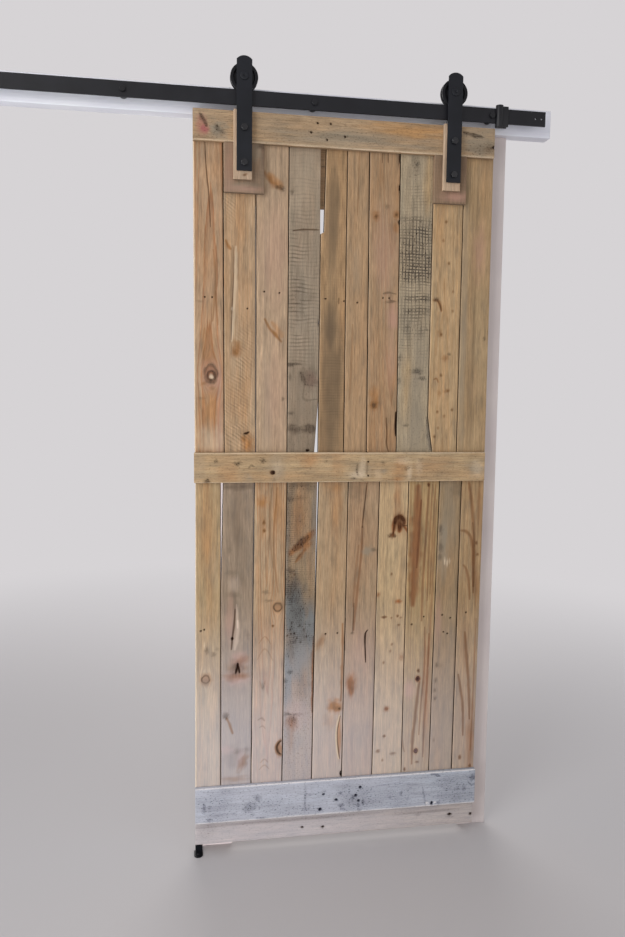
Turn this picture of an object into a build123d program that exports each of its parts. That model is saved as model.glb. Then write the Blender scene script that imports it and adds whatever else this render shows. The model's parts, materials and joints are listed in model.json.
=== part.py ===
from build123d import *
import os

# Sliding barn door of reclaimed boards, hung by two grooved wheels from a flat steel track.
# Millimetres. X runs right along the wall, Y into the wall, Z up.
# The origin is the middle of the header board's flat back face, where it lies on the wall.
# A depth is a distance in front of the wall plane, so depth d lies at Y = -d.

# Header board and casing
header_overhang = 35.0
header_height = 76.0
header_thickness = 38.0
casing_width = 89.0
casing_thickness = 19.0
cover_left = 109.0
cover_right = 36.2
painted_arris = 1.5

# Track, its spacers and lag bolts
track_length = 1830.0
track_height = 40.0
track_thickness = 6.0
track_arris = 0.6
track_bolt_inset = 159.0
track_bolt_count = 4
spacer_length = 34.0
spacer_radius = 12.0
lag_radius = 4.0
lag_length = 74.0
lag_head_across_flats = 15.0
lag_head_height = 6.0
end_hole_radius = 2.5
end_hole_inset = 11.0
end_hole_pitch = 18.5

# Wheels, bearings and axles
wheel_radius = 37.0
groove_radius = 30.5
groove_floor_width = 7.0
groove_mouth_width = 10.4
wheel_width = 18.0
hub_width = 14.0
hub_radius = 17.5
web_thickness = 7.0
rim_inner_radius = 28.5
bearing_radius = 13.0
bearing_width = 10.0
axle_radius = 5.0
axle_head_radius = 11.5
axle_head_height = 3.0
axle_socket_across_flats = 6.0
bush_radius = 8.0
axle_nut_across_flats = 16.0
axle_nut_height = 6.0
axle_thread_past_nut = 1.5

# Hanger straps and what they are bolted through
hanger_inset_left = 135.0
hanger_inset_right = 128.0
strap_width = 41.0
strap_thickness = 5.0
strap_rise = 51.0
strap_crown_radius = 27.0
strap_corner_radius = 2.0
strap_arris = 0.6
upper_bolt_drop = 47.4
lower_bolt_drop = 137.4
strap_tail = 21.0
wheel_to_strap = 3.0
strip_width = 49.5
strip_offset = -3.5
strip_thickness = 12.0
strip_length = 180.0
hanger_bolt_radius = 5.0
hanger_head_across_flats = 17.0
hanger_head_height = 6.5
hanger_nut_height = 6.0
hanger_thread_past_nut = 1.5

# Stops on the track
stop_boss_radius = 11.0
stop_boss_from_track_end = 138.5
stop_boss_bottom = -32.0
stop_boss_top = 28.0
clamp_start = 7.0
clamp_length = 32.0
clamp_wall = 6.0
clamp_top = 25.0
clamp_bottom = -29.5
clamp_corner_radius = 2.0
set_screw_radius = 3.0
set_screw_spacing = 18.0
set_screw_socket = 3.0
set_screw_recess = 1.0

# Door leaf; at rest its right wheel's middle lies this far from the right stop's middle
wheel_to_stop = 133.3
door_height = 2052.0
door_top_gap = 13.0
floor_gap = 28.0
board_thickness = 15.0
rail_thickness = 15.0
back_rail_thickness = 15.0
board_gap = 1.0
arris = 1.0
top_rail_height = 82.0
middle_rail_height = 84.5
middle_rail_drop = 911.0
bottom_rail_height = 107.0
bottom_rail_lift = 70.0
base_board_height = 89.0
rail_shortfall = 4.0
plate_height = 129.0
plate_widths = (108.0, 94.0)
plate_offsets = (1.0, -3.0)
plate_gap = 0.6
back_rail_drop = 13.0
back_joint_above_bolt = 14.4
back_rail_second_height = 112.0
back_rail_middle_height = 80.0
back_rail_bottom_height = 140.0
back_rail_end_inset = 6.0

# Upright boards: the width of each with half a gap on both sides, at the foot and at the head of its course
upper_board_pitches = [
    (81.6, 79.9),
    (87.2, 88.8),
    (88.1, 91.0),
    (88.4, 88.5),
    (73.8, 73.3),
    (66.9, 61.9),
    (88.6, 88.3),
    (91.2, 97.5),
    (89.4, 89.7),
    (87.8, 85.3),
]
lower_board_pitches = [
    (73.3, 70.5),
    (86.5, 93.6),
    (90.4, 92.7),
    (88.2, 87.0),
    (90.2, 89.9),
    (92.5, 91.7),
    (90.4, 87.4),
    (85.3, 93.3),
    (72.6, 66.8),
    (69.7, 69.1),
]
upper_course_start = (2.5, 0.0)
lower_course_start = (0.0, 4.0)

# Wear and gaps that the boards show
gap_taper_height = 196.0
gap_taper_width = 12.5
notch_height = 302.0
notch_width_at_step = 9.5
notch_width_at_head = 15.5
slant_height = 141.0
slant_width = 22.0
left_slit_height = 339.0
left_slit_width = 6.9
middle_slit_height = 484.0
middle_slit_width = 4.1
knot_pocket_radius = 24.5
knot_pocket_overhang = 8.5
knot_pocket_depth = 9.0
knot_pocket_above_bottom = 281.0
wane_width = 16.0
wane_depth = 6.0

# Screws from the back through the back rails and the boards into the front rails
screw_insets = (40.0, 805.0)
base_screw_insets = (200.0, 620.0)
screw_radius = 2.0
screw_length = 38.0
screw_head_radius = 4.2
screw_head_height = 2.2
screw_stagger = 22.0

# Floor guide
guide_width = 25.0
guide_left = -4.0
guide_fin_thickness = 4.0
guide_plate_thickness = 3.0
guide_plate_front = 34.0
guide_engagement = 12.0
groove_width = 6.0
groove_depth = 16.0
guide_screw_radius = 2.2
guide_screw_head_radius = 4.5
guide_screw_head_height = 2.5
guide_screw_length = 20.0
guide_screw_from_front = 14.0

# Fits
bolt_clearance = 0.3
thread_fit = 0.05
seat_clearance = 0.02
axle_clearance = 0.05
running_gap = 0.3
track_clearance = 0.2

# Depths, from the wall out
header_front = header_thickness
track_back = header_front + spacer_length
track_front = track_back + track_thickness
track_middle = (track_back + track_front) / 2
lag_tip = track_front - lag_length
strap_back = track_middle + wheel_width / 2 + wheel_to_strap
strap_front = strap_back + strap_thickness
rail_front = strap_back - strip_thickness
board_front = rail_front - rail_thickness
board_back = board_front - board_thickness
leaf_back = board_back - back_rail_thickness
bearing_front = track_middle + bearing_width / 2
bearing_back = track_middle - bearing_width / 2

# Heights
door_top = -track_height / 2 - door_top_gap
door_bottom = door_top - door_height
floor_level = door_bottom - floor_gap
middle_rail_top = door_top - middle_rail_drop
middle_rail_bottom = middle_rail_top - middle_rail_height
course_split = (middle_rail_top + middle_rail_bottom) / 2
base_board_top = door_bottom + base_board_height
bottom_rail_bottom = door_bottom + bottom_rail_lift
wheel_height = track_height / 2 + running_gap + groove_radius
upper_strap_bolt = door_top - upper_bolt_drop
lower_strap_bolt = door_top - lower_bolt_drop
back_rail_top_edge = door_top - back_rail_drop
back_rail_top_height = back_rail_top_edge - lower_strap_bolt - back_joint_above_bolt

# Places along the wall
stop_place = track_length / 2 - stop_boss_from_track_end
door_width = upper_course_start[1] + sum(head for foot, head in upper_board_pitches)
door_right = stop_place - wheel_to_stop + hanger_inset_right
door_left = door_right - door_width
opening_left = door_left + cover_left
opening_right = door_right - cover_right
header_length = track_length + 2 * header_overhang
hanger_places = (door_left + hanger_inset_left, door_right - hanger_inset_right)
sides = ("left", "right")
track_bolt_spacing = (track_length - 2 * track_bolt_inset) / (track_bolt_count - 1)
track_bolt_places = [
    (track_bolt_inset - track_length / 2 + index * track_bolt_spacing, 0)
    for index in range(track_bolt_count)
]
end_hole_places = [
    (side * (track_length / 2 - end_hole_inset - step * end_hole_pitch), 0)
    for side in (-1, 1)
    for step in (0, 1)
]
hanger_bolt_places = [(x, z) for x in hanger_places for z in (upper_strap_bolt, lower_strap_bolt)]
axle_places = [(x, wheel_height) for x in hanger_places]

# Screws pass where the back rails and the front rails lie over the same boards
top_screw_height = (door_top + back_rail_top_edge - back_rail_top_height + top_rail_height / 2) / 2
foot_screw_height = (base_board_top + door_bottom + back_rail_bottom_height) / 2
base_screw_height = (bottom_rail_bottom + base_board_top) / 2
screw_rows = (
    top_screw_height,
    course_split + screw_stagger,
    course_split - screw_stagger,
    foot_screw_height,
)
board_screw_places = [(door_left + inset, z) for z in screw_rows for inset in screw_insets]
board_screw_places += [(door_left + inset, base_screw_height) for inset in base_screw_insets]

os.makedirs("parts", exist_ok=True)


def at_depth(depth):
    """A drawing plane parallel to the wall: its x runs right, its y up, and an extrusion comes out of the wall."""
    return Plane.XZ.offset(depth)


# Header board, with blind pilot holes for the lag bolts
with BuildPart() as header_board:
    with BuildSketch(at_depth(0)):
        Rectangle(header_length, header_height)
    extrude(amount=header_thickness)
    fillet(header_board.faces().sort_by(Axis.Y)[0].edges().filter_by(Axis.X), painted_arris)
    with BuildSketch(at_depth(lag_tip - thread_fit)):
        with Locations(*track_bolt_places):
            Circle(lag_radius + thread_fit)
    extrude(amount=header_front - lag_tip + thread_fit, mode=Mode.SUBTRACT)
header_board.part.label = "header_board"
export_step(header_board.part, "parts/header_board.step")

# Casing legs: they stand on the floor and end under the header board
casing_top = -header_height / 2
casing_height = casing_top - floor_level
casing_centres = (opening_left - casing_width / 2, opening_right + casing_width / 2)
for side, centre in zip(sides, casing_centres):
    with BuildPart() as casing:
        with BuildSketch(at_depth(0)):
            with Locations((centre, floor_level + casing_height / 2)):
                Rectangle(casing_width, casing_height)
        extrude(amount=casing_thickness)
        fillet(casing.faces().sort_by(Axis.Y)[0].edges().filter_by(Axis.Z), painted_arris)
    casing.part.label = f"casing_{side}"
    export_step(casing.part, f"parts/casing_{side}.step")

# Track: a flat bar with bolt holes along its middle and two open holes at each end
with BuildPart() as track:
    with BuildSketch(at_depth(track_back)):
        Rectangle(track_length, track_height)
        with Locations(*track_bolt_places):
            Circle(lag_radius + bolt_clearance, mode=Mode.SUBTRACT)
        with Locations(*end_hole_places):
            Circle(end_hole_radius, mode=Mode.SUBTRACT)
    extrude(amount=track_thickness)
    chamfer(track.edges().filter_by(Axis.X), track_arris)
track.part.label = "track"
export_step(track.part, "parts/track.step")

# Spacers between header board and track
with BuildPart() as track_spacers:
    with BuildSketch(at_depth(header_front)):
        with Locations(*track_bolt_places):
            Circle(spacer_radius)
            Circle(lag_radius + bolt_clearance, mode=Mode.SUBTRACT)
    extrude(amount=spacer_length)
track_spacers.part.label = "track_spacers"
export_step(track_spacers.part, "parts/track_spacers.step")

# Lag bolts: a hexagon head on the track's face and a shank down to a blunt tip in the header board
with BuildPart() as track_bolts:
    with BuildSketch(at_depth(track_front)):
        with Locations(*track_bolt_places):
            RegularPolygon(lag_head_across_flats / 2, 6, major_radius=False, rotation=30)
    extrude(amount=lag_head_height)
    chamfer(track_bolts.faces().group_by(Axis.Y)[0].edges(), lag_head_height / 5)
    with BuildSketch(at_depth(track_front)):
        with Locations(*track_bolt_places):
            Circle(lag_radius)
    extrude(amount=-lag_length)
    chamfer(track_bolts.faces().group_by(Axis.Y)[-1].edges(), lag_radius / 2)
track_bolts.part.label = "track_bolts"
export_step(track_bolts.part, "parts/track_bolts.step")

# End stops: a clamp that straddles the track and a half-round boss on its front, where the wheel lands
clamp_from = stop_place - clamp_start
clamp_front = track_front + track_clearance + clamp_wall
clamp_back = track_back - track_clearance - clamp_wall
slot_top = track_height / 2 + track_clearance
set_screw_places = [
    (side * stop_place, height)
    for side in (-1, 1)
    for height in (-set_screw_spacing / 2, set_screw_spacing / 2)
]
for side, sign in zip(sides, (-1, 1)):
    with BuildPart() as stop:
        with BuildSketch(Plane.YZ.offset(sign * clamp_from)):
            with Locations((-(clamp_front + clamp_back) / 2, (clamp_top + clamp_bottom) / 2)):
                Rectangle(clamp_front - clamp_back, clamp_top - clamp_bottom)
            fillet(vertices(Select.LAST), clamp_corner_radius)
        extrude(amount=sign * clamp_length)
        with BuildSketch(Plane.YZ.offset(sign * clamp_from)):
            with Locations((-track_middle, (slot_top + stop_boss_bottom) / 2)):
                Rectangle(track_thickness + 2 * track_clearance, slot_top - stop_boss_bottom)
        extrude(amount=sign * clamp_length, mode=Mode.SUBTRACT)
        with BuildSketch(Plane.XY.offset(stop_boss_bottom)):
            with Locations((sign * stop_place, -track_front - track_clearance)):
                Circle(stop_boss_radius)
                Rectangle(
                    2 * stop_boss_radius,
                    stop_boss_radius,
                    align=(Align.CENTER, Align.MIN),
                    mode=Mode.SUBTRACT,
                )
        extrude(amount=stop_boss_top - stop_boss_bottom)
        with BuildSketch(at_depth(track_front)):
            with Locations(*set_screw_places):
                Circle(set_screw_radius + thread_fit)
        extrude(amount=stop_boss_radius + 2 * track_clearance, mode=Mode.SUBTRACT)
    stop.part.label = f"stop_{side}"
    export_step(stop.part, f"parts/stop_{side}.step")

# Set screws in the stops, tight against the track's face, with hexagon sockets
set_screw_length = stop_boss_radius - set_screw_recess
with BuildPart() as stop_screws:
    with BuildSketch(at_depth(track_front)):
        with Locations(*set_screw_places):
            Circle(set_screw_radius)
    extrude(amount=set_screw_length)
    with BuildSketch(at_depth(track_front + set_screw_length - set_screw_radius)):
        with Locations(*set_screw_places):
            RegularPolygon(set_screw_socket / 2, 6, major_radius=False)
    extrude(amount=set_screw_radius, mode=Mode.SUBTRACT)
stop_screws.part.label = "stop_screws"
export_step(stop_screws.part, "parts/stop_screws.step")


def edge_at(start, pitches, count):
    """How far from the door's left edge the joint after so many boards lies, at the foot and at the head."""
    foot = start[0] + sum(pitch[0] for pitch in pitches[:count])
    head = start[1] + sum(pitch[1] for pitch in pitches[:count])
    return door_left + foot, door_left + head


def along(edge, foot, head, height):
    """The place of a leaning joint at a given height."""
    return edge[0] + (edge[1] - edge[0]) * (height - foot) / (head - foot)


def board_sides(start, pitches, number, foot, head):
    """The two sides of one board as lists of points from foot to head, before any wear."""
    left = edge_at(start, pitches, number - 1)
    right = edge_at(start, pitches, number)
    left_gap = board_gap / 2 if number > 1 else 0.0
    right_gap = board_gap / 2 if number < len(pitches) else 0.0
    left_side = [(left[0] + left_gap, foot), (left[1] + left_gap, head)]
    right_side = [(right[0] - right_gap, foot), (right[1] - right_gap, head)]
    return left_side, right_side


def bend_foot(side, height, shift):
    """Moves a side's foot sideways, with the side straight again from the given height above the foot."""
    (foot_x, foot), (head_x, head) = side
    turn = foot + height
    turn_x = along((foot_x, head_x), foot, head, turn)
    return [(foot_x + shift, foot), (turn_x, turn), (head_x, head)]


def bend_head(side, height, shift):
    """Moves a side's head sideways, with the side straight from the given height below the head."""
    (foot_x, foot), (head_x, head) = side
    turn = head - height
    turn_x = along((foot_x, head_x), foot, head, turn)
    return [(foot_x, foot), (turn_x, turn), (head_x + shift, head)]


def notch_head(side, height, shift_at_step, shift_at_head):
    """Cuts a side back from the given height below the head, with a square step."""
    (foot_x, foot), (head_x, head) = side
    step = head - height
    step_x = along((foot_x, head_x), foot, head, step)
    return [(foot_x, foot), (step_x, step), (step_x + shift_at_step, step), (head_x + shift_at_head, head)]


def long_front_edges_of(builder):
    """The long edges round a piece's front face, without holes and short steps."""
    front = builder.faces().sort_by(Axis.Y)[0]
    return front.edges().filter_by(lambda edge: edge.length > board_thickness * 2 and not edge.is_closed)


# Upper boards
upper_foot = course_split + board_gap / 2
upper_head = door_top
for number in range(1, len(upper_board_pitches) + 1):
    left_side, right_side = board_sides(
        upper_course_start, upper_board_pitches, number, upper_foot, upper_head
    )
    if number == 4:
        right_side = bend_foot(right_side, gap_taper_height, -gap_taper_width)
    if number == 5:
        left_side = notch_head(left_side, notch_height, notch_width_at_step, notch_width_at_head)
    if number == 8:
        right_side = bend_foot(right_side, slant_height, slant_width)
    if number == 9:
        left_side = bend_foot(left_side, slant_height, slant_width)
    with BuildPart() as upper_board:
        with BuildSketch(at_depth(board_back)):
            with BuildLine():
                Polyline(*left_side, *reversed(right_side), close=True)
            make_face()
            with Locations(*hanger_bolt_places):
                Circle(hanger_bolt_radius + bolt_clearance, mode=Mode.SUBTRACT)
            with Locations(*board_screw_places):
                Circle(screw_radius + thread_fit, mode=Mode.SUBTRACT)
        extrude(amount=board_thickness)
        chamfer(long_front_edges_of(upper_board), arris)
    upper_board.part.label = f"upper_board_{number}"
    export_step(upper_board.part, f"parts/upper_board_{number}.step")

# Lower boards
lower_foot = base_board_top + board_gap / 2
lower_head = course_split - board_gap / 2
for number in range(1, len(lower_board_pitches) + 1):
    left_side, right_side = board_sides(
        lower_course_start, lower_board_pitches, number, lower_foot, lower_head
    )
    if number == 2:
        left_side = bend_head(left_side, left_slit_height, left_slit_width)
    if number == 5:
        left_side = bend_head(left_side, middle_slit_height, middle_slit_width)
    with BuildPart() as lower_board:
        with BuildSketch(at_depth(board_back)):
            with BuildLine():
                Polyline(*left_side, *reversed(right_side), close=True)
            make_face()
            with Locations(*board_screw_places):
                Circle(screw_radius + thread_fit, mode=Mode.SUBTRACT)
        extrude(amount=board_thickness)
        chamfer(long_front_edges_of(lower_board), arris)
        if number == 3:
            pocket_height = door_bottom + knot_pocket_above_bottom
            pocket_edge = along(
                (right_side[0][0], right_side[1][0]), lower_foot, lower_head, pocket_height
            )
            with BuildSketch(at_depth(board_front - knot_pocket_depth)):
                with Locations((pocket_edge + knot_pocket_overhang, pocket_height)):
                    Circle(knot_pocket_radius)
            extrude(amount=knot_pocket_depth, mode=Mode.SUBTRACT)
    lower_board.part.label = f"lower_board_{number}"
    export_step(lower_board.part, f"parts/lower_board_{number}.step")

# Base board, with a rebate along its lower back edge for the floor guide's fin
rail_length = door_width - rail_shortfall
rail_centre = door_left + rail_length / 2
with BuildPart() as base_board:
    with BuildSketch(at_depth(board_back)):
        with Locations((rail_centre, door_bottom + base_board_height / 2)):
            Rectangle(rail_length, base_board_height)
        with Locations(*board_screw_places):
            Circle(screw_radius + thread_fit, mode=Mode.SUBTRACT)
    extrude(amount=board_thickness)
    chamfer(long_front_edges_of(base_board), arris)
    with BuildSketch(at_depth(board_back)):
        with Locations((rail_centre, door_bottom + groove_depth / 2)):
            Rectangle(rail_length, groove_depth)
    extrude(amount=groove_width / 2, mode=Mode.SUBTRACT)
base_board.part.label = "base_board"
export_step(base_board.part, "parts/base_board.step")

# Front rails, with blind holes from behind for the screws
front_rails = {
    "top_rail": (door_top - top_rail_height, top_rail_height),
    "middle_rail": (middle_rail_bottom, middle_rail_height),
    "bottom_rail": (bottom_rail_bottom, bottom_rail_height),
}
screw_bite = leaf_back + screw_length - board_front
for name, (foot, height) in front_rails.items():
    screws_here = [place for place in board_screw_places if foot < place[1] < foot + height]
    with BuildPart() as front_rail:
        with BuildSketch(at_depth(board_front)):
            with Locations((rail_centre, foot + height / 2)):
                Rectangle(rail_length, height)
            with Locations(*hanger_bolt_places):
                Circle(hanger_bolt_radius + bolt_clearance, mode=Mode.SUBTRACT)
        extrude(amount=rail_thickness)
        chamfer(long_front_edges_of(front_rail), arris)
        with BuildSketch(at_depth(board_front)):
            with Locations(*screws_here):
                Circle(screw_radius + thread_fit)
        extrude(amount=screw_bite + thread_fit, mode=Mode.SUBTRACT)
    front_rail.part.label = name
    export_step(front_rail.part, f"parts/{name}.step")

# Back rails, drilled for the screws; the lowest has the other half of the guide groove
back_rails = {
    "back_rail_top": (back_rail_top_edge - back_rail_top_height, back_rail_top_height),
    "back_rail_second": (
        back_rail_top_edge - back_rail_top_height - board_gap - back_rail_second_height,
        back_rail_second_height,
    ),
    "back_rail_middle": (course_split - back_rail_middle_height / 2, back_rail_middle_height),
    "back_rail_bottom": (door_bottom, back_rail_bottom_height),
}
back_rail_length = door_width - 2 * back_rail_end_inset
back_rail_centre = door_left + door_width / 2
for name, (foot, height) in back_rails.items():
    with BuildPart() as back_rail:
        with BuildSketch(at_depth(leaf_back)):
            with Locations((back_rail_centre, foot + height / 2)):
                Rectangle(back_rail_length, height)
            with Locations(*hanger_bolt_places):
                Circle(hanger_bolt_radius + bolt_clearance, mode=Mode.SUBTRACT)
            with Locations(*board_screw_places):
                Circle(screw_radius + thread_fit, mode=Mode.SUBTRACT)
        extrude(amount=back_rail_thickness)
        if name == "back_rail_bottom":
            with BuildSketch(at_depth(board_back - groove_width / 2)):
                with Locations((back_rail_centre, door_bottom + groove_depth / 2)):
                    Rectangle(back_rail_length, groove_depth)
            extrude(amount=groove_width / 2, mode=Mode.SUBTRACT)
    back_rail.part.label = name
    export_step(back_rail.part, f"parts/{name}.step")

# Screws: low round heads on the back rails, points in the front rails
with BuildPart() as board_screws:
    with BuildSketch(at_depth(leaf_back)):
        with Locations(*board_screw_places):
            Circle(screw_radius)
    extrude(amount=screw_length)
    with BuildSketch(at_depth(leaf_back)):
        with Locations(*board_screw_places):
            Circle(screw_head_radius)
    extrude(amount=-screw_head_height)
board_screws.part.label = "board_screws"
export_step(board_screws.part, "parts/board_screws.step")

# Backing plates and packing strips behind the straps
for side, hanger, width, offset in zip(sides, hanger_places, plate_widths, plate_offsets):
    with BuildPart() as backing_plate:
        with BuildSketch(at_depth(board_front)):
            plate_top = door_top - top_rail_height - plate_gap
            with Locations((hanger + offset, plate_top - plate_height / 2)):
                Rectangle(width, plate_height)
            with Locations(*hanger_bolt_places):
                Circle(hanger_bolt_radius + bolt_clearance, mode=Mode.SUBTRACT)
        extrude(amount=rail_thickness)
        chamfer(long_front_edges_of(backing_plate), arris)
    backing_plate.part.label = f"backing_plate_{side}"
    export_step(backing_plate.part, f"parts/backing_plate_{side}.step")

    with BuildPart() as strap_strip:
        with BuildSketch(at_depth(rail_front)):
            with Locations((hanger + strip_offset, door_top - strip_length / 2)):
                Rectangle(strip_width, strip_length)
            with Locations(*hanger_bolt_places):
                Circle(hanger_bolt_radius + bolt_clearance, mode=Mode.SUBTRACT)
        extrude(amount=strip_thickness)
        chamfer(long_front_edges_of(strap_strip), arris)
    strap_strip.part.label = f"strap_strip_{side}"
    export_step(strap_strip.part, f"parts/strap_strip_{side}.step")

# Hanger straps: flat bars with a crowned top, drilled for the axle and two bolts
strap_top = wheel_height + strap_rise
strap_bottom = lower_strap_bolt - strap_tail
crown_drop = strap_crown_radius - (strap_crown_radius**2 - (strap_width / 2) ** 2) ** 0.5
for side, hanger in zip(sides, hanger_places):
    left_edge = hanger - strap_width / 2
    right_edge = hanger + strap_width / 2
    with BuildPart() as hanger_strap:
        with BuildSketch(at_depth(strap_back)) as strap_outline:
            with BuildLine():
                Polyline(
                    (left_edge, strap_top - crown_drop),
                    (left_edge, strap_bottom),
                    (right_edge, strap_bottom),
                    (right_edge, strap_top - crown_drop),
                )
                ThreePointArc(
                    (right_edge, strap_top - crown_drop),
                    (hanger, strap_top),
                    (left_edge, strap_top - crown_drop),
                )
            make_face()
            fillet(strap_outline.vertices().group_by(Axis.Y)[0], strap_corner_radius)
            with Locations(*axle_places):
                Circle(axle_radius + axle_clearance, mode=Mode.SUBTRACT)
            with Locations(*hanger_bolt_places):
                Circle(hanger_bolt_radius + bolt_clearance, mode=Mode.SUBTRACT)
        extrude(amount=strap_thickness)
        chamfer(long_front_edges_of(hanger_strap), strap_arris)
    hanger_strap.part.label = f"hanger_strap_{side}"
    export_step(hanger_strap.part, f"parts/hanger_strap_{side}.step")

# Hanger bolts through strap, strip, rail or plate, board and back rail, with nuts behind
hanger_bolt_length = strap_front - leaf_back + hanger_nut_height + hanger_thread_past_nut
with BuildPart() as hanger_bolts:
    with BuildSketch(at_depth(strap_front)):
        with Locations(*hanger_bolt_places):
            RegularPolygon(hanger_head_across_flats / 2, 6, major_radius=False)
    extrude(amount=hanger_head_height)
    chamfer(hanger_bolts.faces().group_by(Axis.Y)[0].edges(), hanger_head_height / 4)
    with BuildSketch(at_depth(strap_front)):
        with Locations(*hanger_bolt_places):
            Circle(hanger_bolt_radius)
    extrude(amount=-hanger_bolt_length)
hanger_bolts.part.label = "hanger_bolts"
export_step(hanger_bolts.part, "parts/hanger_bolts.step")

with BuildPart() as hanger_nuts:
    with BuildSketch(at_depth(leaf_back)):
        with Locations(*hanger_bolt_places):
            RegularPolygon(hanger_head_across_flats / 2, 6, major_radius=False)
            Circle(hanger_bolt_radius + thread_fit, mode=Mode.SUBTRACT)
    extrude(amount=-hanger_nut_height)
hanger_nuts.part.label = "hanger_nuts"
export_step(hanger_nuts.part, "parts/hanger_nuts.step")

# Wheels: a turned section with a groove that straddles the track, webs sunk on both sides, a bored hub
for side, hanger in zip(sides, hanger_places):
    wheel_centre = (hanger, -track_middle, wheel_height)
    wheel_axis = Axis(wheel_centre, (0, 1, 0))
    section_plane = Plane(origin=wheel_centre, x_dir=(0, 1, 0), z_dir=(1, 0, 0))
    with BuildPart() as wheel:
        with BuildSketch(section_plane):
            with BuildLine() as half_section:
                Polyline(
                    (0, bearing_radius),
                    (hub_width / 2, bearing_radius),
                    (hub_width / 2, hub_radius),
                    (web_thickness / 2, hub_radius),
                    (web_thickness / 2, rim_inner_radius),
                    (wheel_width / 2, rim_inner_radius),
                    (wheel_width / 2, wheel_radius),
                    (groove_mouth_width / 2, wheel_radius),
                    (groove_floor_width / 2, groove_radius),
                    (0, groove_radius),
                )
                mirror(half_section.line, about=Plane.YZ)
            make_face()
        revolve(axis=wheel_axis)
    wheel.part.label = f"wheel_{side}"
    export_step(wheel.part, f"parts/wheel_{side}.step")

    with BuildPart() as bearing:
        with BuildSketch(at_depth(bearing_back)):
            with Locations((hanger, wheel_height)):
                Circle(bearing_radius - seat_clearance)
                Circle(axle_radius + axle_clearance, mode=Mode.SUBTRACT)
        extrude(amount=bearing_width)
    bearing.part.label = f"bearing_{side}"
    export_step(bearing.part, f"parts/bearing_{side}.step")

    axle_end = bearing_back - running_gap - axle_nut_height - axle_thread_past_nut
    with BuildPart() as axle:
        with BuildSketch(at_depth(strap_front)):
            with Locations((hanger, wheel_height)):
                Circle(axle_head_radius)
        extrude(amount=axle_head_height)
        chamfer(axle.faces().sort_by(Axis.Y)[0].edges(), axle_head_height / 3)
        with BuildSketch(at_depth(strap_front + axle_head_height / 3)):
            with Locations((hanger, wheel_height)):
                RegularPolygon(axle_socket_across_flats / 2, 6, major_radius=False)
        extrude(amount=axle_head_height, mode=Mode.SUBTRACT)
        with BuildSketch(at_depth(axle_end)):
            with Locations((hanger, wheel_height)):
                Circle(axle_radius)
        extrude(amount=strap_front - axle_end)
    axle.part.label = f"axle_{side}"
    export_step(axle.part, f"parts/axle_{side}.step")

# Bushes between strap and bearing, and nuts behind the bearings
with BuildPart() as axle_bushes:
    with BuildSketch(at_depth(bearing_front + running_gap)):
        with Locations(*axle_places):
            Circle(bush_radius)
            Circle(axle_radius + thread_fit, mode=Mode.SUBTRACT)
    extrude(amount=strap_back - bearing_front - running_gap)
axle_bushes.part.label = "axle_bushes"
export_step(axle_bushes.part, "parts/axle_bushes.step")

with BuildPart() as axle_nuts:
    with BuildSketch(at_depth(bearing_back - running_gap)):
        with Locations(*axle_places):
            RegularPolygon(axle_nut_across_flats / 2, 6, major_radius=False)
            Circle(axle_radius + thread_fit, mode=Mode.SUBTRACT)
    extrude(amount=-axle_nut_height)
axle_nuts.part.label = "axle_nuts"
export_step(axle_nuts.part, "parts/axle_nuts.step")

# Floor guide: a plate on the floor with a rounded front end, and a fin that runs in the door's groove
guide_centre = door_left + guide_left + guide_width / 2
fin_back = board_back - guide_fin_thickness / 2
plate_front = board_back + guide_plate_front
fin_height = floor_gap + guide_engagement
screw_depth = plate_front - guide_screw_from_front
with BuildPart() as floor_guide:
    with BuildSketch(Plane.XY.offset(floor_level)):
        with Locations((guide_centre, -(plate_front - guide_width / 2 + fin_back) / 2)):
            Rectangle(guide_width, plate_front - guide_width / 2 - fin_back)
        with Locations((guide_centre, -(plate_front - guide_width / 2))):
            Circle(guide_width / 2)
    extrude(amount=guide_plate_thickness)
    with BuildSketch(at_depth(fin_back)):
        with Locations((guide_centre, floor_level + fin_height / 2)):
            Rectangle(guide_width, fin_height)
    extrude(amount=guide_fin_thickness)
    with BuildSketch(Plane.XY.offset(floor_level)):
        with Locations((guide_centre, -screw_depth)):
            Circle(guide_screw_radius + thread_fit)
    extrude(amount=guide_plate_thickness, mode=Mode.SUBTRACT)
floor_guide.part.label = "floor_guide"
export_step(floor_guide.part, "parts/floor_guide.step")

with BuildPart() as floor_guide_screw:
    with BuildSketch(Plane.XY.offset(floor_level + guide_plate_thickness)):
        with Locations((guide_centre, -screw_depth)):
            Circle(guide_screw_radius)
    extrude(amount=-guide_screw_length)
    with BuildSketch(Plane.XY.offset(floor_level + guide_plate_thickness)):
        with Locations((guide_centre, -screw_depth)):
            Circle(guide_screw_head_radius)
    extrude(amount=guide_screw_head_height)
floor_guide_screw.part.label = "floor_guide_screw"
export_step(floor_guide_screw.part, "parts/floor_guide_screw.step")
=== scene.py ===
"""Dresses the sliding barn door: worn reclaimed boards, painted trim and matte black hardware.

Lengths are millimetres where nothing else is said. A place on the door leaf is given as millimetres
right of its left edge and millimetres above its foot, and Leaf turns places of the frame, in metres,
into such places.
"""
import json
import logging
import math
from dataclasses import dataclass, field
from enum import Enum

import bmesh
import bpy
import numpy as np
from mathutils import Matrix, Vector

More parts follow.
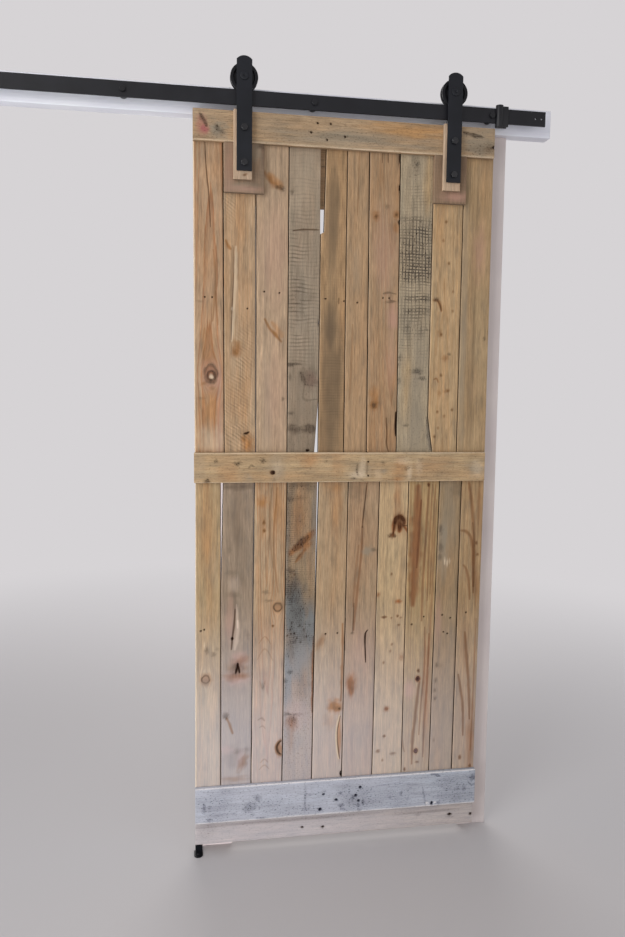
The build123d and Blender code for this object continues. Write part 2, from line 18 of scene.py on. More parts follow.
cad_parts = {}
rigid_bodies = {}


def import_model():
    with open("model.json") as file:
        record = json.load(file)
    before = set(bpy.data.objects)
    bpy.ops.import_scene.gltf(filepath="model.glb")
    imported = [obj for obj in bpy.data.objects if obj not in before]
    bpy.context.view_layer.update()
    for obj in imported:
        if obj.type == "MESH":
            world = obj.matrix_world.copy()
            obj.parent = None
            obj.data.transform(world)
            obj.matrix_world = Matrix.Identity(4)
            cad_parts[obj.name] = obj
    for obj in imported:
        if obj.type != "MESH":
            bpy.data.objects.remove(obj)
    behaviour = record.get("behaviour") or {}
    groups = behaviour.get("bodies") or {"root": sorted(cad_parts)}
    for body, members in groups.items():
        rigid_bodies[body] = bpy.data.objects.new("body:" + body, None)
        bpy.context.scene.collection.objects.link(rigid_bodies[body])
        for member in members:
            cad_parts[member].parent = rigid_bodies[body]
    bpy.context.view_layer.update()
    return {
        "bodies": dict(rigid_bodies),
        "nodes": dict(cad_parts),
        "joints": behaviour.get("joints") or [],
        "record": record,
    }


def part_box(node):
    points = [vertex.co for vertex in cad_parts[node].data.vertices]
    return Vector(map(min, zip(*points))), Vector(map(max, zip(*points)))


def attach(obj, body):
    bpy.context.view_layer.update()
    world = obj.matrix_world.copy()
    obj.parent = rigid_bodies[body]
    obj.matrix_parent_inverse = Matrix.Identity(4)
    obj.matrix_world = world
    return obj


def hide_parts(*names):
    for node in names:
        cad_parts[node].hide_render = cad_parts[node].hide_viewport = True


LOG = logging.getLogger("barn_door")
MM = 0.001

Tone = tuple[float, float, float]
Place = tuple[float, float]
Point = tuple[float, float, float]
Socket = bpy.types.NodeSocket

# Scales of noise along, across and into the grain, in features per metre.
FIBRES = (26.0, 420.0, 420.0)
VEINS = (5.0, 120.0, 120.0)
PATCHES = (3.4, 19.0, 19.0)
CLOUDS = (13.0, 52.0, 52.0)
FLECKS = (150.0, 330.0, 330.0)
PORES = (300.0, 2200.0, 2200.0)
SAW_BEND = (9.0, 15.0, 15.0)
SAW_GAPS = (62.0, 13.0, 13.0)
SAW_LENGTHS = (24.0, 90.0, 90.0)


def linear(tone: Tone) -> tuple[float, float, float, float]:
    """Turns a tone written as 0 to 255 screen values into the linear colour that a socket takes.

    Args:
        tone: Red, green and blue screen values.
    Returns:
        Red, green, blue and an alpha of one.
    """
    share = np.asarray(tone, float) / 255.0
    light = np.where(share <= 0.04045, share / 12.92, ((share + 0.055) / 1.055) ** 2.4)
    return (*light.tolist(), 1.0)


def smooth(value: np.ndarray) -> np.ndarray:
    """Three t squared minus two t cubed, with t held between 0 and 1."""
    held = np.clip(value, 0.0, 1.0)
    return held * held * (3.0 - 2.0 * held)


def fading(value: np.ndarray, end: float, width: float) -> np.ndarray:
    """A smooth step down from one, where the value is a width short of the end, to nought at the end."""
    return smooth((end - value) / width)


def wander(first: np.ndarray, second: np.ndarray, seed: int) -> np.ndarray:
    """Smooth noise between -1 and 1 over a plane.

    Random values stand on a unit lattice, and a point takes the blend of the four round it, with the
    smooth step as the weight in both directions.

    Args:
        first: Coordinate along the first lattice direction.
        second: Coordinate along the second lattice direction.
        seed: Number that picks the lattice.
    Returns:
        The noise, in the shape that both coordinates broadcast to.
    """
    size = 128
    table = np.random.default_rng(seed).uniform(-1.0, 1.0, (size, size))
    first, second = np.broadcast_arrays(first, second)
    row, column = np.floor(first).astype(int), np.floor(second).astype(int)
    over_row, over_column = smooth(first - row), smooth(second - column)
    row, column = row % size, column % size
    next_row, next_column = (row + 1) % size, (column + 1) % size
    near = table[row, column] * (1 - over_row) + table[next_row, column] * over_row
    far = table[row, next_column] * (1 - over_row) + table[next_row, next_column] * over_row
    return near * (1 - over_column) + far * over_column


@dataclass(frozen=True)
class Wave:
    """Smooth noise with its own lengths along and across a board, and its own shift of the board's seed."""

    along: float
    across: float
    shift: int

    def at(self, run: np.ndarray, side: np.ndarray, seed: int) -> np.ndarray:
        """The wave at places of the board with a seed."""
        return wander(run / self.along, side / self.across, seed + self.shift)


# Waves over a board's rings, its face, its sides, its arrises and its joints.
RING_SWAY = Wave(210, 55, 3)
RING_QUIVER = Wave(60, 17, 5)
CUPPING = Wave(130, 45, 11)
SIDE_WEAR = Wave(38, 30, 17)
EDGE_LIGHT = Wave(60, 20, 23)
JOINT_WIDTH = Wave(75, 1, 29)


def crowded(length: float, step: float, needs: list[Point]) -> np.ndarray:
    """Lines from 0 to length that close up where detail is needed.

    The density of lines is 1/step, or near a need 1/finest times a bell over its reach if that is more.
    The lines lie at equal shares of the density's running sum.

    Args:
        length: Distance to cover.
        step: Spacing where nothing is needed.
        needs: Place, finest spacing and reach of each need.
    Returns:
        The places of the lines, first 0 and last the length.
    """
    samples = 3001
    ruler = np.linspace(0.0, length, samples)
    density = np.full_like(ruler, 1.0 / step)
    for place, finest, reach in needs:
        density = np.maximum(density, np.exp(-(((ruler - place) / reach) ** 2)) / finest)
    running = np.concatenate(([0.0], np.cumsum((density[1:] + density[:-1]) * np.diff(ruler) / 2)))
    count = max(2, math.ceil(running[-1]))
    return np.interp(np.linspace(0.0, running[-1], count + 1), running, ruler)


class Skin:
    """A mesh collected from grids of points, each closed round its columns."""

    def __init__(self) -> None:
        """Starts with no points and no faces."""
        self.points: list[np.ndarray] = []
        self.quads: list[np.ndarray] = []
        self.caps: list[np.ndarray] = []
        self.count = 0

    def add(self, grid: np.ndarray, ring: bool = False, flip: bool = False) -> None:
        """Adds rows of points as a closed skin.

        Point (i, j) joins (i, j + 1), (i + 1, j + 1) and (i + 1, j), with j running round. The first and
        last row are capped, or joined to each other in a ring.

        Args:
            grid: Points as rows, columns and three coordinates, in metres.
            ring: Whether the last row joins the first.
            flip: Whether the faces turn the other way round.
        """
        rows, columns = grid.shape[:2]
        index = np.arange(rows * columns).reshape(rows, columns) + self.count
        across = np.roll(index, -1, axis=1)
        if ring:
            first, second = index, np.roll(index, -1, axis=0)
            first_on, second_on = across, np.roll(across, -1, axis=0)
        else:
            first, second, first_on, second_on = index[:-1], index[1:], across[:-1], across[1:]
            ends = [index[0][::-1], index[-1]]
            self.caps += [end[::-1] if flip else end for end in ends]
        quads = np.stack([first, first_on, second_on, second], -1).reshape(-1, 4)
        self.quads.append(quads[:, ::-1] if flip else quads)
        self.points.append(grid.reshape(-1, 3))
        self.count += rows * columns

    def build(self, name: str) -> bpy.types.Object:
        """Puts the points and faces into one new object at the origin.

        Args:
            name: The piece's name.
        Returns:
            The object, smooth on its skins and flat on its caps.
        """
        quads = np.concatenate(self.quads)
        sizes = np.concatenate([np.full(len(quads), 4), [len(cap) for cap in self.caps]]).astype(np.int32)
        corners = np.concatenate([quads.ravel(), *self.caps]).astype(np.int32)
        mesh = bpy.data.meshes.new(name)
        mesh.vertices.add(self.count)
        mesh.vertices.foreach_set("co", np.concatenate(self.points).astype(np.float32).ravel())
        mesh.loops.add(len(corners))
        mesh.loops.foreach_set("vertex_index", corners)
        mesh.polygons.add(len(sizes))
        mesh.polygons.foreach_set("loop_start", np.concatenate(([0], np.cumsum(sizes)[:-1])).astype(np.int32))
        mesh.polygons.foreach_set("use_smooth", np.arange(len(sizes)) < len(quads))
        mesh.update(calc_edges=True)
        mesh.validate()
        piece = bpy.data.objects.new(name, mesh)
        bpy.context.scene.collection.objects.link(piece)
        return piece


class Graph:
    """A node tree put together from short calls, whose values are numbers, tuples or sockets."""

    def __init__(self, tree: bpy.types.NodeTree) -> None:
        """Starts from the tree with its nodes removed."""
        self.tree = tree
        tree.nodes.clear()

    def put(self, socket: Socket, value: object) -> None:
        """Links a socket to another node's socket, or sets it to a plain value.

        Args:
            socket: The input to feed.
            value: A socket, or a plain value of the input's own kind.
        """
        if isinstance(value, bpy.types.NodeSocket):
            self.tree.links.new(value, socket)
        else:
            socket.default_value = value

    def node(self, kind: str, inputs: dict[int | str, object] | None = None, **settings: object) -> bpy.types.Node:
        """Adds a node.

        Args:
            kind: The node's type after "ShaderNode".
            inputs: The value of each input, by its number or name.
            **settings: The node's own settings.
        Returns:
            The node.
        """
        node = self.tree.nodes.new(f"ShaderNode{kind}")
        for name, value in settings.items():
            setattr(node, name, value)
        for key, value in (inputs or {}).items():
            self.put(node.inputs[key], value)
        return node

    def math(self, way: str, *values: object, held: bool = False) -> Socket:
        """One step of arithmetic, named as in the Math node, kept between 0 and 1 if it is held."""
        return self.node("Math", dict(enumerate(values)), operation=way, use_clamp=held).outputs[0]

    def product(self, first: object, *others: object, held: bool = False) -> Socket:
        """The product of two values or more, kept between 0 and 1 if it is held.

        Args:
            first: The first value.
            *others: The values that multiply it.
            held: Whether the product is held.
        Returns:
            The product.
        """
        for value in others:
            first = self.math("MULTIPLY", first, value)
        first.node.use_clamp = held
        return first

    def affine(self, value: object, factor: object, base: object, held: bool = False) -> Socket:
        """A value times a factor plus a base, kept between 0 and 1 if it is held."""
        return self.math("MULTIPLY_ADD", value, factor, base, held=held)

    def about(self, value: Socket, factor: float, base: object) -> Socket:
        """How far a value lies over one half, times a factor, plus a base."""
        return self.affine(self.math("SUBTRACT", value, 0.5), factor, base)

    def blend(self, share: object, under: object, over: object, way: str = "MIX") -> Socket:
        """Mixes two colours by a share between 0 and 1."""
        inputs = {"Factor": share, 6: under, 7: over}
        return self.node("Mix", inputs, data_type="RGBA", blend_type=way).outputs[2]

    def stretched(self, vector: Socket, scale: Point) -> Socket:
        """Multiplies a vector by a scale for each direction."""
        return self.node("VectorMath", {0: vector, 1: scale}, operation="MULTIPLY").outputs[0]

    def noise(self, vector: Socket, scale: Point, detail: float, rough: float) -> Socket:
        """Noise about 0.5 over a vector stretched by a scale, whose values are features per metre."""
        inputs = {"Vector": self.stretched(vector, scale), "Scale": 1.0, "Detail": detail, "Roughness": rough}
        return self.node("TexNoise", inputs).outputs["Fac"]

    def ramp(self, value: Socket, *stops: Place) -> Socket:
        """A grey ramp through stops of place and height.

        Args:
            value: What is looked up.
            *stops: Place and height of each stop, in order.
        Returns:
            The height at the value.
        """
        node = self.node("ValToRGB", {0: value})
        elements = node.color_ramp.elements
        while len(elements) < len(stops):
            elements.new(0.5)
        for element, (place, height) in zip(elements, stops):
            element.position = place
            element.color = (height, height, height, 1.0)
        return node.outputs["Color"]

    def seen(self) -> Socket:
        """One for rays from the camera, off gloss and through glass, and nought for all others.

        Returns:
            The share.
        """
        path = self.node("LightPath").outputs
        indirect = self.math("MAXIMUM", path["Is Glossy Ray"], path["Is Transmission Ray"])
        return self.math("MAXIMUM", path["Is Camera Ray"], indirect)


class Recipe(Graph):
    """A material round one principled shader."""

    def __init__(self, name: str) -> None:
        """Makes the material with its shader and its output.

        Args:
            name: The material's name.
        """
        self.material = bpy.data.materials.new(name)
        self.material.use_nodes = True
        super().__init__(self.material.node_tree)
        self.shader = self.node("BsdfPrincipled")
        self.output = self.node("OutputMaterial", {"Surface": self.shader.outputs["BSDF"]})

    def fix(self, name: str, value: object) -> None:
        """Sets one of the shader's own inputs, the same all over the surface."""
        self.shader.inputs[name].default_value = value

    def attribute(self, name: str, output: str) -> Socket:
        """One output of a mesh attribute."""
        return self.node("Attribute", attribute_name=name).outputs[output]

    def channels(self, name: str) -> tuple[Socket, ...]:
        """The four channels of a colour attribute.

        Args:
            name: The attribute's name.
        Returns:
            Red, green, blue and alpha.
        """
        node = self.node("Attribute", attribute_name=name)
        parts = self.node("SeparateColor", {0: node.outputs["Color"]}).outputs
        return parts[0], parts[1], parts[2], node.outputs["Alpha"]

    def coordinates(self, output: str = "Object") -> Socket:
        """The piece's own coordinates, or its normal in them."""
        return self.node("TexCoord").outputs[output]

    def finish(self, colour: object, roughness: object, height: object, depth: float) -> bpy.types.Material:
        """Feeds the shader and returns the material.

        Args:
            colour: Base colour.
            roughness: Roughness.
            height: Bump height between 0 and 1.
            depth: What a height of 1 is worth, in metres.
        Returns:
            The finished material.
        """
        bump = self.node("Bump", {"Strength": 1.0, "Distance": depth, "Height": height})
        self.put(self.shader.inputs["Base Color"], colour)
        self.put(self.shader.inputs["Roughness"], roughness)
        self.put(self.shader.inputs["Normal"], bump.outputs[0])
        return self.material


@dataclass(frozen=True)
class Leaf:
    """Where the door leaf's left edge and foot lie in the frame, in metres."""

    left: float
    foot: float

    def across(self, place: np.ndarray) -> np.ndarray:
        """Millimetres from the leaf's left edge, of a frame place in metres."""
        return (place - self.left) / MM

    def above(self, place: np.ndarray) -> np.ndarray:
        """Millimetres above the leaf's foot, of a frame place in metres."""
        return (place - self.foot) / MM


class Kind(Enum):
    """What a mark on a board is."""

    NAIL = "nail hole"
    HOLE = "bigger hole"
    SPECK = "small dark speck"
    SMUDGE = "soft dark stain"
    STREAK = "brown streak of a knot"
    GRAIN = "dark grain line"
    WARM = "orange patch"
    PALE = "pale patch"
    GREY = "weathered grey patch"
    PINK = "pinkish patch"
    SAWN = "rough sawn patch"
    CHIP = "chip out of an edge"
    SPLIT = "open split"
    CRACK = "fine closed crack"


@dataclass(frozen=True)
class Effect:
    """What a kind of mark does to the surface.

    Relief is millimetres. The edge, the ragged outline and the halo of soil are shares of the mark's size.
    """

    soil: float = 0.0
    warm: float = 0.0
    pit: float = 0.0
    pale: float = 0.0
    grey: float = 0.0
    pink: float = 0.0
    sawn: float = 0.0
    relief: float = 0.0
    edge: float = 0.8
    ragged: float = 0.2
    halo: float = 0.0


EFFECTS = {
    Kind.NAIL: Effect(pit=1.0, soil=0.7, relief=2.5, edge=0.35, ragged=0.1, halo=2.2),
    Kind.HOLE: Effect(pit=1.0, soil=0.8, relief=4.0, edge=0.3, ragged=0.15, halo=1.7),
    Kind.SPECK: Effect(soil=0.75, warm=0.8, pit=0.25, relief=0.4, edge=0.7, ragged=0.25),
    Kind.SMUDGE: Effect(soil=0.9, ragged=0.45),
    Kind.STREAK: Effect(soil=0.42, warm=0.85, edge=0.85, ragged=0.35, relief=0.2),
    Kind.GRAIN: Effect(soil=0.48, warm=0.5, edge=0.75),
    Kind.WARM: Effect(warm=0.9, edge=0.85, ragged=0.35),
    Kind.PALE: Effect(pale=0.8, edge=0.7, ragged=0.3),
    Kind.GREY: Effect(grey=0.8, ragged=0.4),
    Kind.PINK: Effect(pink=0.8, edge=0.85, ragged=0.3),
    Kind.SAWN: Effect(sawn=1.0),
    Kind.CHIP: Effect(relief=3.0, pale=0.1, soil=0.5, edge=0.4, ragged=0.5),
    Kind.SPLIT: Effect(pit=1.0, soil=0.5, relief=2.5, edge=0.4, halo=2.4),
    Kind.CRACK: Effect(pit=0.5, soil=0.7, warm=0.3, relief=0.8, edge=0.5, halo=1.8),
}


@dataclass(frozen=True)
class Mark:
    """A mark on the leaf: its middle, its half width and half height, its amount and its turn in degrees."""

    kind: Kind
    x: float
    z: float
    wide: float = 2.1
    tall: float = 2.1
    amount: float = 1.0
    turn: float = 0.0

    def reach(self, x: np.ndarray, z: np.ndarray, seed: int) -> np.ndarray:
        """How far places lie from the middle, in shares of the mark's size, with a ragged outline.

        The offset is turned back by the mark's angle, divided by the half sizes, and its length taken;
        noise of the mark's own scale then moves the outline.

        Args:
            x: Places right of the leaf's left edge.
            z: Places above its foot.
            seed: Which pattern the ragged outline takes.
        Returns:
            The distances, which are 1 on the mark's edge.
        """
        angle = math.radians(self.turn)
        over, up = x - self.x, z - self.z
        along = (over * math.cos(angle) + up * math.sin(angle)) / self.wide
        rise = (up * math.cos(angle) - over * math.sin(angle)) / self.tall
        waves, shift = 2.1, 40
        ragged = EFFECTS[self.kind].ragged * wander(along * waves + shift, rise * waves + shift, seed)
        return np.hypot(along, rise) + ragged

    def anchors(self) -> list[Point]:
        """Where the mesh closes up for the mark: places and the size to show there."""
        return [(self.x, self.z, min(self.wide, self.tall))]


@dataclass(frozen=True)
class Line:
    """A mark that follows a smooth curve through points, with its half width and amount."""

    kind: Kind
    points: tuple[Place, ...]
    wide: float
    amount: float = 1.0

    def curve(self) -> np.ndarray:
        """Places along the curve, five for each stretch between two points.

        Between b and c, with a before and d after, it is half of 2b + (c - a)t + (2a - 5b + 4c - d)t^2 +
        (3b - a - 3c + d)t^3.

        Returns:
            A row of x and z for each place.
        """
        ends = np.array([self.points[0], *self.points, self.points[-1]], float)
        share = np.linspace(0.0, 1.0, 6)[:-1, None]
        a, b, c, d = (ends[start:len(ends) - 3 + start, None] for start in range(4))
        cubic = 2 * b + (c - a) * share + (2 * a - 5 * b + 4 * c - d) * share**2
        cubic = (cubic + (3 * b - a - 3 * c + d) * share**3) / 2
        return np.concatenate([cubic.reshape(-1, 2), ends[-1:]])

    def reach(self, x: np.ndarray, z: np.ndarray, seed: int) -> np.ndarray:
        """The least distance to the curve, in shares of the width, which tapers to the ends.

        At a share s of the run, the width is the tip's share plus the rest times the root of sin(pi s).

        Args:
            x: Places right of the leaf's left edge.
            z: Places above its foot.
            seed: Which pattern the ragged outline takes.
        Returns:
            The distances, which are 1 on the line's edge.
        """
        far, tip, short = 1e6, 0.4, 1e-6
        nearest = np.full(np.broadcast(x, z).shape, far)
        places = self.curve()
        steps = len(places) - 1
        for step, ((x0, z0), (x1, z1)) in enumerate(zip(places[:-1], places[1:])):
            length = max((x1 - x0) ** 2 + (z1 - z0) ** 2, short)
            held = np.clip(((x - x0) * (x1 - x0) + (z - z0) * (z1 - z0)) / length, 0.0, 1.0)
            gap = np.hypot(x - x0 - held * (x1 - x0), z - z0 - held * (z1 - z0))
            run = np.clip((step + held) / steps, 0.03, 0.97)
            taper = tip + (1 - tip) * np.sqrt(np.sin(math.pi * run))
            nearest = np.minimum(nearest, gap / (self.wide * taper))
        waver = 15
        return nearest * (1 + EFFECTS[self.kind].ragged * wander(x / waver, z / waver, seed))

    def anchors(self) -> list[Point]:
        """Where the mesh closes up for the mark: places and the size to show there."""
        return [(x, z, self.wide) for x, z in self.curve().tolist()]


def marked(*entries: Kind | tuple) -> tuple[Mark | Line, ...]:
    """Marks and lines, from kinds that are each followed by their own entries.

    An entry that starts with a number is a mark: its middle and, where they aren't the usual, its half
    width, half height, amount and turn. One that starts with points is a line: they, its half width and
    its amount.

    Args:
        *entries: The kinds, each before its entries.
    Returns:
        The marks and lines, in the same order.
    """
    marks: list[Mark | Line] = []
    for entry in entries:
        if isinstance(entry, Kind):
            kind = entry
        else:
            marks.append((Line if isinstance(entry[0], tuple) else Mark)(kind, *entry))
    return tuple(marks)


@dataclass(frozen=True)
class Knot:
    """A knot: its middle, its radius, its stretch along the grain, and how strong each trait of it is."""

    x: float
    z: float
    radius: float
    stretch: float
    dark: float
    rim: float
    open: float
    halo: float = 0.45


@dataclass(frozen=True)
class Pith:
    """Where the tree's middle ran behind a board, which sets how the rings cross its face."""

    across: float
    depth: float
    lean: float = 0.0
    dive: float = 0.0


@dataclass(frozen=True)
class Wood:
    """The finish of one board: its tones, the width of its rings, and how strong each trait of it is.

    Pitch is the distance between saw marks, and slant their turn in degrees.
    """

    early: Tone
    late: Tone
    ring: float
    contrast: float
    warm: Tone = (162, 115, 72)
    grey: Tone = (142, 130, 112)
    pale: Tone = (214, 192, 164)
    pink: Tone = (184, 142, 124)
    soil: Tone = (56, 43, 35)
    pit: Tone = (38, 19, 10)
    # Tone of the painted light: a pale cool veil over the lower leaf that stands in for light falling there.
    painted_light: Tone = (222, 219, 229)
    mottle: float = 0.3
    greying: float = 0.0
    fibre: float = 0.55
    streaks: float = 0.35
    dull: float = 0.2
    cloud: float = 0.75
    sawn: float = 0.0
    ripple: float = 0.16
    stroke: float = 0.3
    pitch: float = 9.0
    slant: float = 0.0
    hatch: float = 0.45
    cross: float = 0.0
    fleck: float = 0.0


class Timber(Recipe):
    """A board's material, built up as the wood was: grown, sawn, weathered and soiled, with painted light and shade
    laid over it.

    The grain coordinates, rings, marks with their painted shade and highlights, greying, soil and painted light come
    from the mesh's attributes. The ring coordinate gives a dark late band at the end of each whole number.
    """

    def __init__(self, name: str, wood: Wood) -> None:
        """Reads the attributes, and lays noises over the grain.

        Args:
            name: The material's name.
            wood: The board's wood.
        """
        super().__init__(name)
        self.wood = wood
        self.grain = self.attribute("grain", "Vector")
        self.ring, self.knot, self.greying, self.pink = self.channels("figure")
        self.soil, self.warm, self.pit, self.pale = self.channels("marks")
        self.fine = self.noise(self.grain, FIBRES, 3.0, 0.7)
        self.broad = self.noise(self.grain, VEINS, 3.0, 0.6)
        self.mottle = self.noise(self.grain, PATCHES, 2.0, 0.5)
        self.cloud = self.noise(self.grain, CLOUDS, 3.0, 0.6)

    def tinted(self, share: object, colour: Socket, tone: Tone, way: str = "MIX") -> Socket:
        """A share of a tone over a colour."""
        return self.blend(share, colour, linear(tone), way)

    def grown(self) -> tuple[Socket, Socket]:
        """The colour of the fresh wood with its rings, veins and mottle, and the share of late wood.

        Returns:
            The colour and the share.
        """
        wood = self.wood
        ring = self.about(self.broad, 0.8, self.ring)
        late = self.ramp(self.math("FRACT", ring), (0.0, 0.0), (0.4, 0.1), (0.78, 0.65), (0.92, 1.0), (1.0, 0.05))
        whole = self.node("TexWhiteNoise", {"W": self.math("FLOOR", ring)}, noise_dimensions="1D")
        heavy = self.affine(whole.outputs["Value"], 1.1, 0.3)
        colour = self.blend(self.product(late, heavy, wood.contrast, held=True), linear(wood.early), linear(wood.late))
        veins = self.ramp(self.broad, (0.5, 0.0), (0.72, 1.0))
        colour = self.tinted(self.product(veins, wood.streaks), colour, wood.late)
        hue = self.affine(self.ramp(self.mottle, (0.35, 0.0), (0.75, 1.0)), wood.mottle, self.warm, held=True)
        colour = self.tinted(hue, colour, wood.warm)
        return self.tinted(self.ramp(self.cloud, (0.52, 0.0), (0.7, wood.dull)), colour, wood.grey), late

    def sawing(self) -> tuple[Socket, Socket]:
        """Saw marks, as a soft ripple and as dark strokes, both between 0 and 1.

        The ripple is half plus half the sine of the place along the grain over the pitch, which noise
        bends and makes uneven. The strokes are its crests; where the cross share is set, noise streaks
        along the grain are laid over them.

        Returns:
            The ripple and the strokes.
        """
        pitch = self.wood.pitch * MM
        slant = {"Vector": self.grain, "Angle": math.radians(self.wood.slant)}
        turned = self.node("VectorRotate", slant, rotation_type="Z_AXIS").outputs[0]
        parts = self.node("SeparateXYZ", {0: turned}).outputs
        bend = self.product(self.noise(self.grain, SAW_BEND, 1.0, 0.5), 11.0)
        wave = self.product(self.math("SINE", self.affine(parts[0], 2 * math.pi / pitch, bend)), 0.5)
        uneven = self.ramp(self.noise(self.grain, SAW_GAPS, 2.0, 0.6), (0.36, 0.05), (0.62, 1.0))
        ripple = self.affine(wave, uneven, 0.5)
        strokes = self.ramp(ripple, (0.58, 0.0), (0.9, 1.0))
        if self.wood.cross:
            side = self.math("SINE", self.affine(parts[1], 2 * math.pi / (pitch * 1.15), bend))
            over = self.product(side, self.noise(self.grain, SAW_LENGTHS, 2.0, 0.6))
            lengthwise = self.product(self.ramp(over, (0.12, 0.0), (0.42, 1.0)), self.wood.cross)
            strokes = self.math("MAXIMUM", strokes, lengthwise)
        return ripple, strokes

    def shaded(self, colour: Socket, ripple: Socket, rough: Socket) -> Socket:
        """The colour made darker and lighter by fibres, veins, clouds and the saw's ripple.

        Args:
            colour: The fresh wood's colour.
            ripple: The saw's ripple.
            rough: How roughly sawn each place is, 0 to 1.
        Returns:
            The shaded colour.
        """
        wood = self.wood
        shade = self.about(self.fine, wood.fibre * 2.2, 1.0)
        drift = self.about(self.broad, wood.fibre * 2.0, 1.0)
        drift = self.affine(self.math("SUBTRACT", 0.5, self.cloud), wood.cloud, drift)
        swell = self.product(self.math("SUBTRACT", ripple, 0.5), rough, -2 * wood.ripple)
        light = self.product(shade, self.math("ADD", drift, swell))
        return self.node("VectorMath", {0: colour, "Scale": light}, operation="SCALE").outputs[0]

    def weathered(self, colour: Socket) -> Socket:
        """The colour with its greying, pink patches, knots, a painted pale light over the lower leaf, and pale patches
        and arrises, the arrises partly painted highlight.

        Args:
            colour: The shaded colour.
        Returns:
            The weathered colour.
        """
        wood = self.wood
        patchy = self.about(self.mottle, 0.9, 1.0)
        greying = self.product(self.math("ADD", self.greying, wood.greying), patchy, held=True)
        colour = self.tinted(greying, colour, wood.grey)
        colour = self.tinted(self.pink, colour, wood.pink)
        colour = self.tinted(self.knot, colour, wood.warm, "MULTIPLY")
        # Painted light: a pale cool veil over the lower leaf, weaker on warm patches; then the pale channel, which
        # holds worn pale patches and painted highlights on the arrises.
        painted_light_share = self.product(self.attribute("painted_light", "Fac"), self.affine(self.warm, -0.7, 1.0))
        return self.tinted(self.pale, self.tinted(painted_light_share, colour, wood.painted_light), wood.pale)

    def soiled(self, colour: Socket, strokes: Socket, rough: Socket) -> Socket:
        """The colour with dirt in the saw marks, stains, flecks and dark pits, and the joints' dirt and painted shade,
        which come in the soil and pit channels.

        Dirt lies thick in the strokes of a rough face and thin between them.

        Args:
            colour: The weathered colour.
            strokes: The saw's dark strokes.
            rough: How roughly sawn each place is, 0 to 1.
        Returns:
            The soiled colour.
        """
        wood = self.wood
        colour = self.tinted(self.product(strokes, rough, wood.stroke), colour, wood.soil)
        bare = self.product(self.math("SUBTRACT", 1.0, strokes), self.product(rough, wood.hatch))
        hatched = self.math("SUBTRACT", 1.0, bare, held=True)
        grainy = self.ramp(self.fine, (0.3, 0.36), (0.7, 1.0))
        # The soil channel holds stains and the joints' dirt and painted shade.
        colour = self.tinted(self.product(self.soil, hatched, grainy, held=True), colour, wood.soil)
        if wood.fleck:
            flecks = self.ramp(self.noise(self.grain, FLECKS, 2.0, 0.6), (0.58, 0.0), (0.65, 1.0))
            there = self.affine(self.soil, wood.fleck, wood.fleck * 0.3)
            colour = self.tinted(self.product(flecks, there, held=True), colour, wood.pit)
        return self.tinted(self.pit, colour, wood.pit)

    def sawn_off(self, colour: Socket, end: int) -> Socket:
        """The colour with porous end grain where the surface faces along the grain.

        Args:
            colour: The soiled colour.
            end: Which object axis the grain runs along.
        Returns:
            The finished colour.
        """
        normal = self.node("SeparateXYZ", {0: self.coordinates("Normal")}).outputs[end]
        facing = self.ramp(self.math("ABSOLUTE", normal), (0.75, 0.0), (0.95, 1.0))
        pores = self.ramp(self.noise(self.grain, PORES, 2.0, 0.6), (0.35, 1.0), (0.65, 0.0))
        cut = self.blend(pores, linear(self.wood.grey), linear(self.wood.late))
        return self.blend(self.product(facing, 0.75), colour, cut)

    def build(self, end: int) -> bpy.types.Material:
        """Finishes the material.

        Args:
            end: Which object axis the grain runs along, for the end grain.
        Returns:
            The material.
        """
        rough = self.math("ADD", self.attribute("sawn", "Fac"), self.wood.sawn, held=True)
        colour, late = self.grown()
        ripple, strokes = self.sawing()
        colour = self.weathered(self.shaded(colour, ripple, rough))
        colour = self.sawn_off(self.soiled(colour, strokes, rough), end)
        height = self.affine(self.fine, 0.5, self.product(late, 0.2))
        height = self.affine(self.product(ripple, rough), -0.9, height)
        roughness = self.math("ADD", self.affine(late, -0.12, 0.78), self.product(self.pit, 0.3), held=True)
        self.fix("Specular IOR Level", 0.08)
        return self.finish(colour, roughness, height, 0.0006)


def outline_of(node: bpy.types.Object, along: int, across: int, places: np.ndarray) -> tuple[np.ndarray, np.ndarray]:
    """Both sides of a packed board at given places along it.

    Every edge of the board's mesh that crosses a place is cut there, and the least and the greatest
    cut are the board's two sides.

    Args:
        node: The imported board.
        along: Axis number of the board's length.
        across: Axis number of its width.
        places: Where to cut, in metres.
    Returns:
        The low and the high side at each place, in metres.
    """
    mesh = node.data
    points = np.empty(len(mesh.vertices) * 3, np.float32)
    mesh.vertices.foreach_get("co", points)
    points = points.reshape(-1, 3).astype(float)
    ends = np.empty(len(mesh.edges) * 2, np.int32)
    mesh.edges.foreach_get("vertices", ends)
    start, stop = points[ends[0::2]], points[ends[1::2]]
    low, high = points[:, along].min(), points[:, along].max()
    margin = (high - low) * 1e-5
    cut = np.clip(places, low + margin, high - margin)[:, None]
    run = stop[:, along] - start[:, along]
    level = 1e-9
    run = np.where(np.abs(run) < level, np.nan, run)
    share = (cut - start[:, along]) / run
    side = start[:, across] + share * (stop[:, across] - start[:, across])
    side = np.where((share >= 0) & (share <= 1), side, np.nan)
    return np.nanmin(side, axis=1), np.nanmax(side, axis=1)


